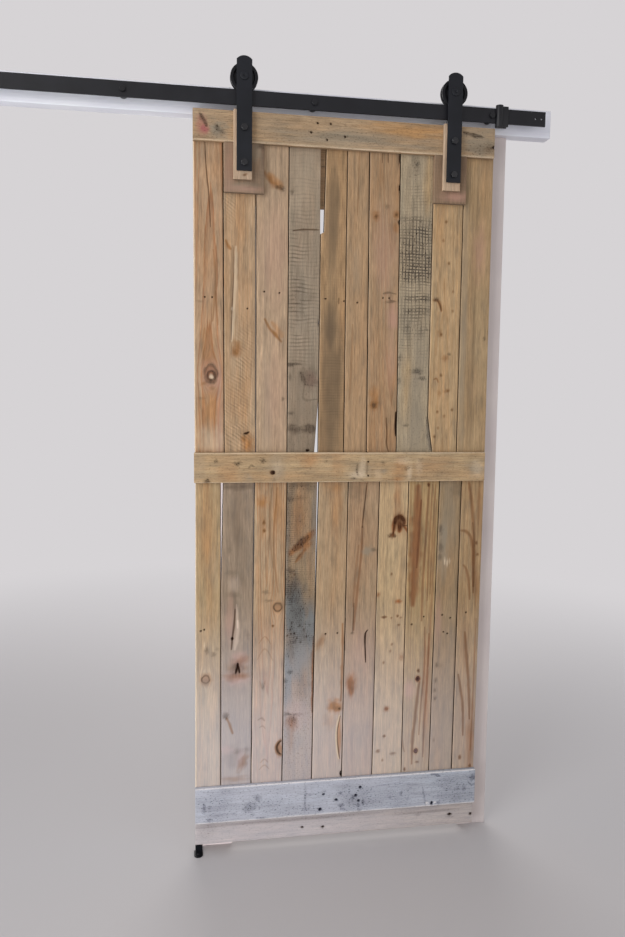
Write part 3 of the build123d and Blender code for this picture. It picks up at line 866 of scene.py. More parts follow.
def rounded_section(corners: np.ndarray, radius: float, fronts: np.ndarray, backs: int) -> np.ndarray:
    """A board's section as a loop of points, with its corners worn round.

    A corner becomes a quadratic curve from the radius before it to the radius after it, and the straight
    stretches between are divided: the first one, the front, by the given shares.

    Args:
        corners: Share of the width, shift across and depth of each corner, front first.
        radius: Size of the worn arris.
        fronts: Shares of the front's stretch.
        backs: How many parts a wide stretch behind the front is divided into.
    Returns:
        For each point its share, shift, depth and outward normal across and in depth.
    """
    usual_width = 80.0
    flat = np.stack([corners[:, 0] * usual_width + corners[:, 1], corners[:, 2]], -1)
    ahead = np.roll(flat, -1, axis=0) - flat
    ahead /= np.linalg.norm(ahead, axis=1)[:, None]
    loop = []
    for index, corner in enumerate(corners):
        after, turn = corners[(index + 1) % len(corners)], ahead[(index + 1) % len(corners)]
        step = radius * np.array([0.0, *ahead[index]])
        leave, reach = corner + step, after - step
        onward = after + radius * np.array([0.0, *turn])
        parts = backs if corner[0] != after[0] else 1
        for share in fronts if index == 0 else np.linspace(0.0, 1.0, parts + 1):
            loop.append([*(leave + share * (reach - leave)), ahead[index][1], -ahead[index][0]])
        for part in (1 / 3, 2 / 3):
            point = (1 - part) ** 2 * reach + 2 * part * (1 - part) * after + part**2 * onward
            tangent = (1 - part) * ahead[index] + part * turn
            tangent /= np.linalg.norm(tangent)
            loop.append([*point, tangent[1], -tangent[0]])
    return np.array(loop)


class Lay(Enum):
    """Which way a board's grain runs: its axis number, and the axis number across it."""

    UPRIGHT = (2, 0)
    LYING = (0, 2)


@dataclass(frozen=True)
class Spread:
    """A board's surface before wear, as rows along the board and columns round its section.

    Run, side and the low and high edges are places on the leaf, and deep lies behind the front face.
    The outward normal has a share across the board and one in depth.
    """

    run: np.ndarray
    side: np.ndarray
    deep: np.ndarray
    low: np.ndarray
    high: np.ndarray
    out_side: np.ndarray
    out_deep: np.ndarray
    foot: float
    head: float
    width: float

    def leaf_places(self, upright: bool) -> tuple[np.ndarray, np.ndarray]:
        """The points' places right of the leaf's left edge and above its foot."""
        return (self.side, self.run) if upright else (self.run, self.side)


@dataclass
class Board:
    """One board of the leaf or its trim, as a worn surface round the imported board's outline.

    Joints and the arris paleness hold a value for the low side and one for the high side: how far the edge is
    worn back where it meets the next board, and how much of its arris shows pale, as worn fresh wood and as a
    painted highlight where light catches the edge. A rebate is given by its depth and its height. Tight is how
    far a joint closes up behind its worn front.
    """

    node: str
    wood: Wood
    lay: Lay = Lay.UPRIGHT
    seed: int = 0
    pith: Pith = Pith(0, 60)
    joints: Place = (0.0, 0.0)
    arris: float = 1.8
    # Pale arris on the low and high side: worn fresh wood and a painted highlight where light catches the edge.
    pale_and_lit_arris: Place = (0.6, 0.2)
    marks: tuple[Mark | Line, ...] = ()
    knots: tuple[Knot, ...] = ()
    rebate: Place = (0.0, 0.0)
    slot: str = ""
    step: float = 5.0
    # How strong the painted pale light over the lower leaf is.
    painted_light: float = 0.36
    cupping: float = 0.25
    tight: float = 0.38
    body: str = "door"
    fields: dict[str, np.ndarray] = field(default_factory=dict)

    @property
    def upright(self) -> bool:
        """Whether the board stands."""
        return self.lay is Lay.UPRIGHT

    def anchors(self, finest: float) -> list[tuple[float, float, float, float]]:
        """Where the mesh closes up: place along the board, across it, finest spacing and reach.

        Args:
            finest: The closest spacing that a mark may ask for.
        Returns:
            The four values of each spot.
        """
        small, spacing, reach = 9.0, 0.52, 1.6
        spots = [
            (x, z, max(finest, size * spacing), size * reach)
            for mark in self.marks for x, z, size in mark.anchors() if size < small
        ]
        spots += [(knot.x, knot.z, max(1.4, knot.radius / 6), knot.radius * reach) for knot in self.knots]
        return [(z, x, *needs) if self.upright else (x, z, *needs) for x, z, *needs in spots]

    def columns(self, low: np.ndarray, along: np.ndarray, width: float) -> np.ndarray:
        """Places of the columns from the board's low side.

        Args:
            low: The board's low side at each probed place.
            along: The probed places along the board.
            width: The board's usual width.
        Returns:
            The places, from nought to the width.
        """
        needs, beyond = [], 5
        for run, side, finest, reach in self.anchors(0.9):
            place = side - float(np.interp(run, along, low))
            if -beyond < place < width + beyond:
                needs.append((place, finest, reach))
        return crowded(width, self.step, needs)

    def rows(self, foot: float, length: float) -> np.ndarray:
        """Places of the rows along the board, from its foot, closed up at marks and both ends.

        Args:
            foot: Where the board starts.
            length: How long it is.
        Returns:
            The places, from nought to the length.
        """
        finest, reach = 0.45, 1.6
        ends = [(0.0, finest, reach), (length, finest, reach)]
        return crowded(length, self.step, ends + [(run - foot, *needs) for run, _, *needs in self.anchors(1.1)])

    def warp(self, run: np.ndarray, side: np.ndarray) -> np.ndarray:
        """The grain's side coordinate, led round each knot.

        Fibres pass a knot as a stream passes a round pile: the side offset is multiplied by one minus
        the square of the radius over the distance.

        Args:
            run: Places along the board.
            side: Places across it.
        Returns:
            The side coordinate that the grain has.
        """
        led = side.copy()
        for knot in self.knots:
            middle_run, middle_side = (knot.z, knot.x) if self.upright else (knot.x, knot.z)
            over = side - middle_side
            away = (run - middle_run) / (knot.stretch * 1.7)
            square = over**2 + away**2
            pull = np.minimum(knot.radius**2 / np.maximum(square, knot.radius**2 * 0.25), 1.0)
            led -= over * pull * fading(np.sqrt(square), 5 * knot.radius, 2 * knot.radius)
        return led

    def paint(self, x: np.ndarray, z: np.ndarray, front: np.ndarray) -> None:
        """Works out every mark's share in the fields at the given places of the leaf, and the painted pale light over
        the lower leaf.

        Args:
            x: Places right of the leaf's left edge.
            z: Places above its foot.
            front: How much each point belongs to the front face, 0 to 1.
        """
        traits = ("warm", "pit", "pale", "grey", "pink", "sawn", "relief")
        self.fields = {name: np.zeros(x.shape) for name in ("soil", "knot", *traits)}
        for number, mark in enumerate(self.marks):
            effect = EFFECTS[mark.kind]
            reach = mark.reach(x, z, self.seed * 97 + number)
            cover = fading(reach, 1 + effect.edge, 2 * effect.edge) * front * mark.amount
            for name in traits:
                self.fields[name] += getattr(effect, name) * cover
            if effect.halo:
                cover = fading(reach, effect.halo, effect.halo) * front * mark.amount
            self.fields["soil"] += effect.soil * cover
        # Painted light: pale, strongest at the foot, fading out higher up, and weaker towards the right of the leaf.
        top, fall, left, run, loss = 760.0, 500.0, 300.0, 600.0, 0.5
        self.fields["painted_light"] = self.painted_light * fading(z, top, fall) * (1 - loss * smooth((x - left) / run))

    def knotted(self, x: np.ndarray, z: np.ndarray, front: np.ndarray, ring: np.ndarray) -> np.ndarray:
        """Puts each knot's own rings, rim and tone in, and returns the ring coordinate with them.

        Args:
            x: Places right of the leaf's left edge.
            z: Places above its foot.
            front: How much each point belongs to the front face, 0 to 1.
            ring: The ring coordinate of the clear wood.
        Returns:
            The ring coordinate with the knots.
        """
        waver, ragged, own_ring = 7, 0.1, 2.2
        rim_width, rim_depth, hole_depth = 0.2, 0.45, 3.0
        for number, knot in enumerate(self.knots):
            over, up = x - knot.x, z - knot.z
            along, side = (up, over) if self.upright else (over, up)
            reach = np.hypot(side, along / knot.stretch) / knot.radius
            reach = reach * (1 + ragged * wander(x / waver, z / waver, self.seed * 53 + number))
            inside = fading(reach, 1.15, 0.3)
            ring = ring * (1 - inside) + (reach * knot.radius / own_ring) * inside
            rim = np.exp(-(((reach - 1.0) / rim_width) ** 2))
            self.fields["knot"] += inside * knot.dark * front
            self.fields["soil"] += rim * knot.rim * front
            self.fields["relief"] += (rim * rim_depth + inside * knot.open * hole_depth) * front
            self.fields["warm"] += fading(reach, 2.3, 1.3) * knot.halo * front
            self.fields["pit"] += fading(reach, 0.75, 0.4) * knot.open * front
        return ring

    def corners(self, thickness: float) -> np.ndarray:
        """The section's corners, front first: share of the width, shift across and depth.

        Args:
            thickness: The board's thickness.
        Returns:
            A row for each corner.
        """
        deep, tall = self.rebate
        behind = [(0.0, 0.0, thickness)]
        if deep:
            behind = [(0.0, tall, thickness), (0.0, tall, thickness - deep), (0.0, 0.0, thickness - deep)]
        return np.array([(0.0, 0.0, 0.0), (1.0, 0.0, 0.0), (1.0, 0.0, thickness), *behind])

    def spread(self, leaf: Leaf, frame: dict) -> Spread:
        """Carries a loop of section points along the board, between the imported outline's two sides.

        Args:
            leaf: The leaf's place in the frame.
            frame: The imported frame.
        Returns:
            The surface before wear.
        """
        packed = frame["nodes"][self.node]
        lowest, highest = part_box(self.node)
        along, across = self.lay.value
        to_run, to_side = (leaf.above, leaf.across) if self.upright else (leaf.across, leaf.above)
        foot, head = float(to_run(lowest[along])), float(to_run(highest[along]))
        thickness = (highest[1] - lowest[1]) / MM
        probe = np.linspace(lowest[along], highest[along], 400)
        low, high = map(to_side, outline_of(packed, along, across, probe))
        width = float(np.median(high - low))
        fronts = self.columns(low, to_run(probe), width) / width
        rows = self.rows(foot, head - foot) + foot
        cuts = lowest[along] + (rows - foot) * MM
        low, high = (to_side(edge)[:, None] for edge in outline_of(packed, along, across, cuts))
        share, shift, depth, out_side, out_deep = rounded_section(self.corners(thickness), self.arris, fronts, 5).T
        side = low + share * (high - low) + shift
        run = np.broadcast_to(rows[:, None], side.shape)
        return Spread(run, side, np.broadcast_to(depth, side.shape), low, high, out_side, out_deep, foot, head, width)

    def rings(self, at: Spread, led: np.ndarray) -> np.ndarray:
        """The ring coordinate: the distance from the pith, which leans and dives, over the rings' width.

        Args:
            at: The surface before wear.
            led: The grain's side coordinate.
        Returns:
            The ring coordinate of each point.
        """
        middle = self.pith.across + self.pith.lean * (at.run - at.foot)
        behind = self.pith.depth + self.pith.dive * (at.run - (at.foot + at.head) / 2) / 100.0
        wavy = 2.2 * RING_SWAY.at(at.run, led, self.seed) + 0.8 * RING_QUIVER.at(at.run, led, self.seed)
        return (np.hypot(led - middle, at.deep + behind) + wavy) / self.wood.ring

    def worn(self, at: Spread) -> np.ndarray:
        """How far each point sinks along its normal.

        That is the marks' relief, a hollow down the middle, the wear of the sides, which opens a joint
        at the front and closes it behind, and a quarter round at both ends.

        Args:
            at: The surface before wear.
        Returns:
            The depths.
        """
        side_wear, narrow, varied, end_depth = 0.2, 0.65, 0.5, 0.9
        middle = np.clip(1 - np.abs((at.side - (at.low + at.high) / 2) / (at.width / 2)), 0, 1)
        hollow = self.cupping * (0.5 + 0.5 * CUPPING.at(at.run, at.side, self.seed)) * middle
        sideways = np.abs(at.out_side)
        joint = np.where(at.out_side < 0, self.joints[0], self.joints[1])
        inward = fading(at.deep, 9.0, 6.0)
        wear = side_wear * (1 + SIDE_WEAR.at(at.run, at.deep, self.seed)) * sideways
        wear = np.where(joint > 0, wear * inward - self.tight * (1 - inward) * sideways, wear)
        opened = joint * inward * (narrow + varied * JOINT_WIDTH.at(at.run, at.out_side * 3, self.seed)) * sideways
        ends = np.clip(np.minimum(at.run - at.foot, at.head - at.run), 0.0, 1.0)
        return self.fields["relief"] + hollow + wear + opened + end_depth * (1 - np.sqrt(1 - (1 - ends) ** 2))

    def surface(self, leaf: Leaf, frame: dict) -> bpy.types.Object:
        """Builds the board's mesh with its attributes.

        Each point of the spread surface sinks along its normal by the wear there.

        Args:
            leaf: The leaf's place in the frame.
            frame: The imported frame.
        Returns:
            The finished piece, without material.
        """
        at = self.spread(leaf, frame)
        x, z = at.leaf_places(self.upright)
        front = fading(at.deep, 3.0, 2.5) * (at.out_deep < 0.9)
        self.paint(x, z, front)
        led = self.warp(at.run, at.side)
        ring = self.knotted(x, z, front, self.rings(at, led))
        sunk = self.worn(at)
        side, deep = at.side - at.out_side * sunk, at.deep - at.out_deep * sunk
        run_from, side_from = (leaf.foot, leaf.left) if self.upright else (leaf.left, leaf.foot)
        along, across = self.lay.value
        grid = np.empty((*side.shape, 3))
        grid[..., along] = run_from + at.run * MM
        grid[..., across] = side_from + side * MM
        grid[..., 1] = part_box(self.node)[0][1] + deep * MM
        skin = Skin()
        skin.add(grid, flip=self.lay is Lay.LYING)
        piece = skin.build(f"{self.node}_wood")
        self.store(piece.data, at, led, deep, ring)
        return piece

    def store(self, mesh: bpy.types.Mesh, at: Spread, led: np.ndarray, deep: np.ndarray, ring: np.ndarray) -> None:
        """Writes the grain's coordinates and the marks into the mesh's attributes.

        The joints' inner faces get dirt and painted shade that deepens inwards, the lips on each board's high side at a
        joint get painted shade, and the arrises are pale, as worn wood and as painted highlight.

        Args:
            mesh: The board's mesh.
            at: Its surface before wear.
            led: The grain's side coordinate.
            deep: Depth of each point once worn.
            ring: The ring coordinate.
        """
        held = {name: np.clip(values, 0.0, 1.0) for name, values in self.fields.items()}
        sideways, low_side = np.abs(at.out_side), at.out_side < 0
        joined = np.where(low_side, self.joints[0], self.joints[1]) > 0
        # Dirt and painted shade on the joints' inner faces, darker deeper in.
        joint_dirt_and_shade = smooth((at.deep - 0.6) / 3.2) * smooth(sideways / 0.8) * joined
        # Painted shade on each board's high-side lip at a joint, the side turned away from the light.
        shaded_lip = smooth((at.out_side - 0.1) / 0.6) * joined
        # Pale arris: worn fresh wood and a painted highlight, set for each side by the arris amounts.
        arris = np.exp(-(((sideways - 0.55) / 0.35) ** 2)) * (at.deep < 4)
        arris = arris * np.where(low_side, self.pale_and_lit_arris[0], self.pale_and_lit_arris[1])
        # The pale arris's strength wanders along the board.
        light = 0.7 + 0.4 * EDGE_LIGHT.at(at.run, deep, self.seed)
        marks = np.stack([held["soil"] + joint_dirt_and_shade + shaded_lip * 0.4, held["warm"] + shaded_lip * 0.6,
                          held["pit"] + joint_dirt_and_shade + shaded_lip * 0.5, held["pale"] + arris * light], -1)
        away = self.seed * 3.7
        for name, kind, key, values in (
            ("grain", "FLOAT_VECTOR", "vector", np.stack([at.run * MM + away, led * MM + away * 0.31, deep * MM], -1)),
            ("figure", "FLOAT_COLOR", "color", np.stack([ring, held["knot"], held["grey"], held["pink"]], -1)),
            ("marks", "FLOAT_COLOR", "color", np.clip(marks, 0.0, 1.0)),
            ("sawn", "FLOAT", "value", held["sawn"]),
            ("painted_light", "FLOAT", "value", held["painted_light"]),
        ):
            attribute = mesh.attributes.new(name, kind, "POINT")
            attribute.data.foreach_set(key, values.astype(np.float32).ravel())

    def build(self, leaf: Leaf, frame: dict) -> None:
        """Makes the piece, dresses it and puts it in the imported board's place.

        Args:
            leaf: The leaf's place in the frame.
            frame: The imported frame.
        """
        piece = self.surface(leaf, frame)
        piece.data.materials.append(Timber(f"{self.node}_finish", self.wood).build(self.lay.value[0]))
        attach(piece, self.body)
        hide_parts(self.node)
        LOG.info("%s: %d faces", piece.name, len(piece.data.polygons))


def upper_boards() -> list[Board]:
    """The ten upright boards above the middle rail, from left to right.

    Returns:
        The boards.
    """
    return [
        Board(
            "upper_board_1", Wood((172, 145, 117), (150, 98, 64), 8.0, 0.7, mottle=0.45), seed=1,
            pith=Pith(42, 26, 0.004, 2.6), joints=(0.0, 0.7), arris=2.6, pale_and_lit_arris=(1.3, 0.2),
            marks=marked(
                Kind.NAIL, (31, 1564), (51, 1564),
                # A pale line down the leaf's left edge: painted highlight where light from the left catches it.
                Kind.PALE, (((2, 1142), (2, 1555), (2, 1968)), 2.6, 0.75),
                Kind.CRACK, (((32, 1978), (36, 1900), (43, 1830), (47, 1750)), 1.5, 0.9),
                Kind.GRAIN, (((52, 1500), (57, 1560), (60, 1625), (54, 1690)), 3.0, 0.7),
                    (((66, 1490), (62, 1540), (60, 1580)), 2.5, 0.6),
                    (((30, 1480), (25, 1440), (28, 1395)), 3.0, 0.5),
                Kind.WARM, (48, 1262, 22, 40, 0.7), (30, 1440, 14, 70, 0.4), (46, 1900, 16, 60, 0.3),
                Kind.PINK, (46, 1356, 22, 32, 0.6), (70, 1250, 7, 150, 0.5),
                Kind.PALE, (44, 1172, 36, 30, 0.4), (49, 1348, 5.5, 6.5, 1.0, 20),
                Kind.STREAK, (30, 1331, 9, 4, 0.8, 20), (50, 1318, 7, 4, 0.6, -10),
                Kind.SMUDGE, (16, 1552, 9, 3, 0.4), (20, 1290, 12, 3, 0.35), (56, 1354, 3.5, 9, 0.9),
            ),
            knots=(Knot(47, 1357, 17, 1.45, 0.45, 0.9, 0.0, 0.1), Knot(48, 1352, 10.5, 1.15, 0.2, 1.9, 0.0, 0.0)),
        ),
        Board(
            "upper_board_2",
            Wood((174, 149, 120), (150, 110, 72), 5.0, 0.35, mottle=0.4, ripple=0.2, stroke=0.12, pitch=8.5,
                 slant=-36),
            seed=2, pith=Pith(210, 45, 0.0, 1.0), joints=(0.7, 1.5),
            marks=marked(
                Kind.NAIL, (147, 1536),
                Kind.SAWN, (98, 1808, 14, 40, 0.8), (122, 1240, 38, 120, 0.95), (140, 1420, 20, 80, 0.6),
                Kind.STREAK, (((88, 1716), (93, 1704), (101, 1694)), 4.0, 0.9), (118, 1428, 11, 17, 0.9),
                    (112, 1412, 8, 8, 0.6),
                Kind.SMUDGE, (((106, 1702), (105, 1610), (102, 1530), (100, 1445)), 4.6, 0.42),
                Kind.CRACK, (((110, 1700), (109, 1610), (105, 1530), (103, 1450)), 0.9, 0.8),
                Kind.PALE, (((115, 1700), (113, 1600), (109, 1520), (104, 1448)), 4.2, 0.6), (105, 1534, 2.6, 5),
                Kind.SPLIT, (((151, 1197), (146, 1194), (139, 1193)), 2.8, 0.9),
                Kind.WARM, (150, 1165, 14, 24, 0.9), (120, 1300, 34, 50, 0.25), (128, 1780, 16, 80, 0.4),
                Kind.STREAK, (137, 1180, 7, 8, 0.6),
            ),
        ),
        Board(
            "upper_board_3", Wood((172, 148, 122), (158, 124, 96), 5.0, 0.22, mottle=0.12, streaks=0.12, dull=0.1),
            seed=3, pith=Pith(120, 60), joints=(1.4, 1.5),
            marks=marked(
                Kind.NAIL, (193, 1583), (235, 1581),
                Kind.STREAK, (((192, 1900), (206, 1880), (222, 1866), (240, 1858)), 6.0, 0.75),
                    (((195, 1508), (208, 1484), (226, 1464), (241, 1448)), 4.2),
                Kind.WARM, (((205, 1898), (222, 1882), (240, 1866)), 9.0, 0.8),
                    (((214, 1500), (232, 1478), (242, 1462)), 8.0, 0.6),
                Kind.SMUDGE, (240, 1860, 7, 6, 1.0, -20), (228, 1864, 5, 4, 0.7), (247, 1290, 4, 5, 0.8),
                    (236, 1868, 4, 3, 0.6),
                Kind.PINK, (220, 1700, 34, 110, 0.35), (225, 1300, 26, 120, 0.3),
                Kind.GREY, (203, 1275, 12, 120, 0.45), (196, 1680, 10, 90, 0.25),
            ),
        ),
        Board(
            "upper_board_4",
            Wood((152, 137, 118), (116, 100, 86), 5.0, 0.3, greying=0.3, sawn=0.03, ripple=0.3, stroke=0.4,
                 pitch=10.5, fleck=0.4),
            seed=4, pith=Pith(300, 30, 0.0, 1.5), joints=(0.9, 0.6), pale_and_lit_arris=(0.9, 0.2),
            marks=marked(
                Kind.SAWN, (284, 1560, 24, 80), (325, 1560, 22, 110, 0.4), (284, 1690, 26, 50, 0.7),
                    (300, 1840, 46, 100, 0.25), (290, 1430, 30, 40, 0.5),
                Kind.SMUDGE, (282, 1560, 24, 46, 0.35), (330, 1150, 14, 30, 0.3), (268, 1165, 10, 30, 0.3),
                Kind.PALE, (304, 1905, 44, 90, 0.2),
                Kind.SMUDGE, (304, 1230, 50, 130, 0.32), (290, 1565, 14, 50, 0.4), (326, 1572, 12, 10, 0.4),
                    (268, 1853, 5, 7, 0.9), (267, 1385, 8, 5, 1.3), (282, 1388, 16, 3, 0.9), (266, 1350, 4, 8, 0.7),
                    (322, 1350, 22, 27, 0.7), (302, 1350, 5, 14, 0.7, 20), (275, 1206, 20, 11, 0.8),
                    (326, 1205, 17, 10, 1.3), (268, 1250, 8, 4, 0.7), (318, 1215, 14, 4, 0.5),
                    (((307, 1330), (306, 1290), (345, 1290)), 2.4, 0.4), (((308, 1330), (345, 1326)), 2.2, 0.3),
                Kind.CRACK, (((272, 1750), (300, 1754), (343, 1755)), 2.0),
                Kind.PINK, (325, 1345, 16, 20, 0.4),
                Kind.HOLE, (318, 1146, 5, 3.4),
                Kind.CHIP, (348, 1503, 5, 7),
            ),
        ),
        Board(
            "upper_board_5",
            Wood((166, 137, 103), (132, 100, 68), 5.0, 0.3, grey=(116, 96, 74), soil=(74, 62, 50), sawn=0.1,
                 pitch=8.0, hatch=0.1),
            seed=5, pith=Pith(470, 50), joints=(0.5, 0.6), pale_and_lit_arris=(0.9, 0.3),
            marks=marked(
                Kind.NAIL, (365, 1569), (417, 1564),
                Kind.GREY, (384, 1280, 26, 190), (382, 1770, 14, 175, 0.9), (380, 1500, 16, 60, 0.7),
                Kind.SMUDGE, (382, 1770, 10, 160, 0.25), (380, 1500, 15, 46, 0.35), (384, 1400, 24, 60, 0.3),
                    (386, 1300, 26, 70, 0.35), (386, 1190, 28, 80, 0.3), (404, 1380, 8, 50, 0.3),
                Kind.SAWN, (385, 1330, 26, 140, 0.4),
                Kind.WARM, (414, 1480, 6, 50, 0.3),
                Kind.CRACK, (((402, 1572), (402, 1556)), 1.3, 0.7),
            ),
        ),
        Board(
            "upper_board_6", Wood((166, 138, 107), (150, 112, 78), 6.0, 0.25, mottle=0.2), seed=6, pith=Pith(300, 40),
            joints=(0.7, 1.0),
            marks=marked(
                Kind.NAIL, (455, 1561),
                Kind.GRAIN, (((454, 1972), (454, 1925), (452, 1800)), 1.4, 0.8),
                    (((442, 1500), (440, 1380), (436, 1290)), 2.5, 0.5),
                Kind.GREY, (450, 1660, 12, 60, 0.35),
            ),
        ),
        Board(
            "upper_board_7", Wood((161, 135, 106), (140, 98, 66), 6.0, 0.35), seed=7, pith=Pith(560, 36, -0.01, -2.0),
            joints=(1.3, 1.1), pale_and_lit_arris=(0.8, 0.2),
            marks=marked(
                Kind.NAIL, (529, 1576), (547, 1576),
                Kind.CHIP, (573, 1880, 6, 12), (573, 1785, 5, 7), (571, 1960, 5, 20),
                Kind.STREAK, (563, 1770, 8, 12, 0.7), (505, 1800, 9, 11), (563, 1805, 8, 9), (515, 1905, 10, 40, 0.3),
                    (508, 1275, 12, 12),
                Kind.SMUDGE, (537, 1828, 6, 6, 0.6), (505, 1798, 4, 5, 0.6), (564, 1806, 4, 4, 0.7),
                    (552, 1566, 11, 3.5, 0.7), (540, 1564, 9, 2.5, 0.4), (508, 1274, 6, 6),
                    (((530, 1588), (546, 1591), (566, 1588)), 2.4, 0.8),
                    (((546, 1576), (552, 1570), (566, 1568)), 2.0, 0.6),
                Kind.WARM, (508, 1305, 11, 22, 0.8), (500, 1200, 12, 70, 0.35), (560, 1180, 12, 40, 0.3),
                Kind.PINK, (558, 1520, 14, 36, 0.8), (530, 1700, 30, 90, 0.4), (555, 1400, 14, 60, 0.35),
                Kind.CRACK, (((520, 1975), (520, 1945)), 1.2, 0.7), (((536, 1975), (537, 1946)), 1.4, 0.8),
                    (((545, 1238), (548, 1190), (547, 1165), (553, 1142)), 2.0, 0.9),
                Kind.SPLIT, (((573, 1255), (573, 1222), (574, 1188)), 2.6),
            ),
        ),
        Board(
            "upper_board_8",
            Wood((164, 150, 127), (138, 122, 102), 6.0, 0.2, warm=(178, 144, 98), soil=(46, 42, 42), greying=0.12,
                 sawn=0.06, pitch=8.5, hatch=0.85, cross=1.0, fleck=0.8),
            seed=8, pith=Pith(700, 40), joints=(0.9, 0.5), pale_and_lit_arris=(0.7, 0.2),
            marks=marked(
                Kind.SAWN, (624, 1640, 56, 190),
                Kind.SMUDGE, (614, 1935, 10, 36, 0.45), (620, 1945, 4, 5, 0.9), (622, 1765, 44, 34, 0.9),
                    (640, 1750, 24, 16, 0.7), (600, 1680, 26, 44, 1.3), (644, 1680, 26, 44, 1.3),
                    (625, 1640, 42, 16, 0.8), (605, 1636, 8, 7), (640, 1634, 6, 5, 0.9), (625, 1576, 44, 8, 0.75),
                    (655, 1576, 11, 8), (602, 1543, 9, 8), (645, 1545, 18, 8, 0.7), (622, 1515, 40, 36, 0.3),
                    (660, 1491, 6, 3, 0.9), (634, 1371, 17, 7, 0.95), (648, 1352, 12, 4, 0.8), (580, 1410, 4, 9, 0.8),
                    (580, 1388, 4, 7, 0.5), (580, 1345, 4, 8, 0.6), (603, 1217, 8, 2.6, 0.9),
                    (624, 1705, 44, 60, 0.3), (640, 1480, 8, 14, 0.35), (600, 1490, 12, 12, 0.35),
                Kind.GREY, (632, 1230, 22, 130, 0.75), (674, 1190, 9, 48, 0.9), (640, 1440, 16, 60, 0.4),
                Kind.SMUDGE, (((664, 1240), (672, 1190), (679, 1146)), 4.5, 0.7),
                Kind.WARM, (652, 1890, 12, 70, 0.5), (603, 1330, 12, 90, 0.5),
            ),
        ),
        Board(
            "upper_board_9", Wood((179, 153, 118), (160, 118, 74), 6.0, 0.3, mottle=0.35), seed=9,
            pith=Pith(712, 40, 0.0, 1.4), joints=(0.7, 1.0), pale_and_lit_arris=(0.8, 0.2),
            marks=marked(
                Kind.SPECK, (709, 1793, 3.4, 4.0, 0.7), (720, 1678, 3.4, 4.0, 0.7), (703, 1478, 3.4, 4.0, 0.7),
                    (705, 1362, 3.4, 4.0, 0.7), (697, 1257, 3.4, 4.0, 0.7), (741, 1263, 3.4, 4.0, 0.7),
                    (690, 1185, 3.4, 4.0, 0.7), (702, 1741, 3.4, 4.0, 0.45), (735, 1545, 3.4, 4.0, 0.45),
                    (718, 1245, 3.4, 4.0, 0.45), (700, 1210, 3.4, 4.0, 0.45), (727, 1317, 3.4, 4.0, 0.45),
                    (735, 1600, 3.4, 4.0, 0.45),
                Kind.STREAK, (716, 1411, 9, 8, 0.7, 30), (724, 1318, 10, 4, 0.6, 20), (700, 1310, 6, 8, 0.4),
                    (698, 1482, 6, 10, 0.5),
                Kind.SMUDGE, (727, 1422, 5, 3.5, 0.9), (686, 1576, 8, 5, 0.9),
                Kind.STREAK, (((680, 1574), (690, 1572), (697, 1560), (701, 1545)), 4.6),
                    (((684, 1350), (692, 1352), (697, 1342)), 2.8, 0.9),
                Kind.SMUDGE, (((688, 1574), (696, 1562), (701, 1546)), 2.2, 0.8),
                Kind.GRAIN, (((694, 1540), (690, 1480), (688, 1420)), 4.0, 0.4),
            ),
        ),
        Board(
            "upper_board_10", Wood((164, 139, 105), (140, 110, 80), 6.0, 0.3), seed=10, pith=Pith(900, 40),
            joints=(0.7, 0.0), pale_and_lit_arris=(0.4, 0.8),
            marks=marked(
                Kind.GREY, (768, 1500, 9, 330, 0.6),
                Kind.SMUDGE, (795, 1300, 13, 150, 0.4), (795, 1620, 9, 180, 0.22), (833, 1469, 3.5, 6, 0.9),
                    (795, 1850, 12, 60, 0.2),
                Kind.PINK, (812, 1710, 16, 60, 0.5),
            ),
        ),
    ]


